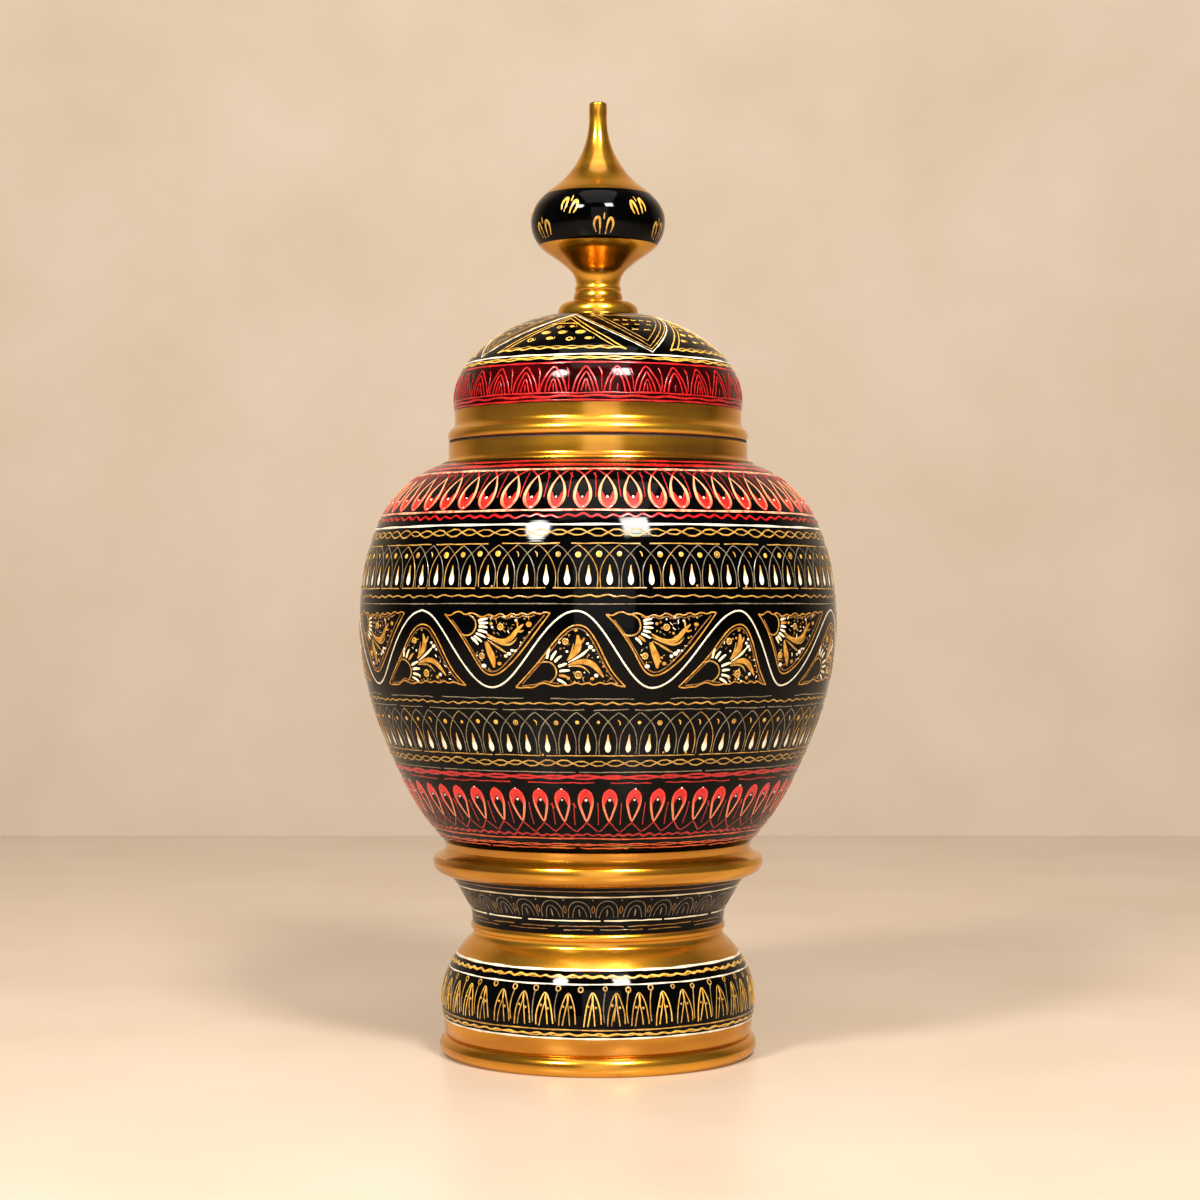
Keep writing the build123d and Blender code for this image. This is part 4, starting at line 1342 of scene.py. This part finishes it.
def drawCrown():
    sheets = newSheets("whiteLine", "brightGold", "goldLine")
    perDegree = math.radians(1) * crown["sheetR"]
    low, high = upTheDome(crown["lowR"]), upTheDome(crown["highR"])
    lows = [turn * perDegree for turn in crown["lows"] + [crown["lows"][0] + 360]]
    peaks = [(a + b) / 2 for a, b in zip(lows, lows[1:])]
    zigzag = [(lows[0], low)]
    for peak, following in zip(peaks, lows[1:]):
        zigzag += [(peak, high), (following, low)]
    stroke(sheets["whiteLine"], straightRun(zigzag), crown["zigzagWidth"], straight=True)
    echo = [(px, py + crown["echoUp"]) for px, py in zigzag]
    stroke(sheets["brightGold"], straightRun(echo), crown["echoWidth"], straight=True)
    before = peaks[-1] - 360 * perDegree
    for peak, left, right in zip(peaks, lows, lows[1:]):
        drawStanding(sheets, peak, (right - left) / 2, low, high)
        drawHanging(sheets, left, (peak - before) / 2, low, high)
        before = peak
    return sheets


layDown(crown, drawCrown(), crownSurface, "lid")
print("lid drawn")

# Knob: two rows of small three-stroke sprigs, each row with its height, first turn, size, lean and finish
# The lower row, facing down, is drawn in the darker gold and the upper, facing up, in the brighter: painted
# shade and painted light
sprig = {"name": "knob_sprigs", "sheetR": 26.5, "count": 6,
         "loop": [(-3.0, -3.1), (-4.3, -0.2), (-2.7, 3.1), (-1.4, 1.2), (-1.3, -3.7)], "loopWidth": 1.15,
         "bud": [(0, 4.3), (0.1, 3.0), (0, 1.7)], "budWidth": 0.9, "shift": 2, "shake": 0.2,
         "thick": (0.9, 1.15), "ends": (0.4, 0.45),
         "rows": ((327.6, 4.9, 1.0, 4, "goldLine"), (335.6, -25.0, 0.9, 16, "brightGold"))}


def drawSprigs():
    sheets = newSheets("brightGold", "goldLine")
    s = sprig
    loops = (s["loop"], s["loopWidth"]), (mirrored(s["loop"]), s["loopWidth"]), (s["bud"], s["budWidth"])
    for height, first, size, lean, finish in s["rows"]:
        for i in range(s["count"]):
            x = math.radians(first + 360 / s["count"] * i + unsteady(s["shift"])) * s["sheetR"]
            tilt = math.radians(lean * (1 if i % 2 else -1))
            for points, width in loops:
                drawn = []
                for px, py in points:
                    turnedX = px * math.cos(tilt) - py * math.sin(tilt)
                    turnedY = px * math.sin(tilt) + py * math.cos(tilt)
                    drawn.append((x + turnedX * size, height + turnedY * size))
                drawn = shaken(drawn, s["shake"])
                leaf(sheets[finish], drawn, width * hand.uniform(*s["thick"]), *s["ends"])
    return sheets


layDown(sprig, drawSprigs(), surfaceOf(finialOutside()), "lid")
print("knob drawn")

# Floor, wall, lamps and camera
studio = {"floorBack": 0.95, "width": 6.0, "front": -2.6, "high": 3.2, "polish": 0.3, "wallDull": 0.8,
          "cloudSize": 9.0, "clouds": (0.3, 0.7), "seam": 0.0002,
          "floorTone": colour(196, 178, 160), "floorShade": colour(188, 169, 149),
          "wallTone": colour(186, 171, 154), "wallShade": colour(178, 162, 143)}


def makeStudio():
    s = studio
    bpy.ops.object.select_all(action="DESELECT")
    bpy.ops.mesh.primitive_plane_add(size=1, location=(0, 0, 0))
    floor = bpy.context.object
    floor.name = floor.data.name = "studio_floor"
    for vertex in floor.data.vertices:
        vertex.co.x = s["width"] * (1 if vertex.co.x > 0 else -1)
        vertex.co.y = s["floorBack"] if vertex.co.y > 0 else s["front"]
    selectEdges(floor.data, lambda place: place.y > 0)
    bpy.ops.mesh.extrude_region_move(TRANSFORM_OT_translate={"value": (0, 0, s["high"])})
    bpy.ops.object.mode_set(mode="OBJECT")
    material, tree, shader = newMaterial("pale_floor")
    place = addNode(tree, "ShaderNodeTexCoord").outputs["Object"]
    cloud = addNode(tree, "ShaderNodeTexNoise", {"Vector": place, "Scale": s["cloudSize"], "Detail": 6.0})
    level = remap(tree, cloud.outputs[0], *s["clouds"])
    ground = mixColour(tree, level, s["floorTone"], s["floorShade"])
    wall = mixColour(tree, level, s["wallTone"], s["wallShade"])
    isWall = remap(tree, heightOf(tree, place), 0.0, s["seam"])
    connect(tree, shader, {
        "Base Color": mixColour(tree, isWall, ground, wall),
        "Roughness": remap(tree, isWall, 0.0, 1.0, s["polish"], s["wallDull"])})
    floor.data.materials.append(material)


# Lamps: degrees round from the front and up from the aim, distance and size in metres
lampAim = 0.2
lampColour = (1.0, 0.96, 0.905)
lamps = {
    "softboxLeft": {"turn": -33.0, "up": 37.0, "away": 1.5, "wide": 0.28, "tall": 0.28, "power": 25.0,
                    "shape": "ELLIPSE"},
    "softboxRight": {"turn": 21.0, "up": 40.5, "away": 1.5, "wide": 0.30, "tall": 0.29, "power": 30.0},
    "fillTop": {"turn": 2.0, "up": 71.0, "away": 2.2, "wide": 1.5, "tall": 1.9, "power": 17.0},
    "fillFront": {"turn": 3.0, "up": 13.0, "away": 2.6, "wide": 1.3, "tall": 1.7, "power": 9.0},
    "fillWide": {"turn": -6.0, "up": 30.0, "away": 2.8, "wide": 3.0, "tall": 2.0, "power": 3.5,
                 "reflected": False},
}


def hangLamp(name, lamp):
    turn, up = math.radians(lamp["turn"]), math.radians(lamp["up"])
    light = bpy.data.lights.new(name, "AREA")
    light.shape = lamp.get("shape", "RECTANGLE")
    light.size, light.size_y = lamp["wide"], lamp["tall"]
    light.energy = lamp["power"]
    light.color = lampColour
    holder = bpy.data.objects.new(name, light)
    holder.location = (lamp["away"] * math.sin(turn) * math.cos(up),
                       -lamp["away"] * math.cos(turn) * math.cos(up), lampAim + lamp["away"] * math.sin(up))
    holder.rotation_euler = (math.pi / 2 - up, 0, turn)
    holder.visible_glossy = lamp.get("reflected", True)
    bpy.context.scene.collection.objects.link(holder)


view = {"away": 1.043, "side": 0.0008, "high": 0.1805, "lens": 78.0, "sensor": 36.0}
surroundings = {"colour": (0.78, 0.72, 0.63, 1), "strength": 0.20}


def placeCamera():
    lens = bpy.data.cameras.new("photo_camera")
    lens.lens, lens.sensor_width = view["lens"], view["sensor"]
    camera = bpy.data.objects.new("photo_camera", lens)
    camera.location = (view["side"], -view["away"], view["high"])
    camera.rotation_euler = (math.pi / 2, 0, 0)
    bpy.context.scene.collection.objects.link(camera)
    bpy.context.scene.camera = camera


def makeSurroundings():
    world = bpy.data.worlds.new("pale_surroundings")
    world.use_nodes = True
    background = world.node_tree.nodes["Background"]
    connect(world.node_tree, background, {0: surroundings["colour"], 1: surroundings["strength"]})
    bpy.context.scene.world = world
    bpy.context.scene.view_settings.view_transform = "Standard"


makeStudio()
for lampName, lamp in lamps.items():
    hangLamp(lampName, lamp)
placeCamera()
makeSurroundings()
print("studio set")
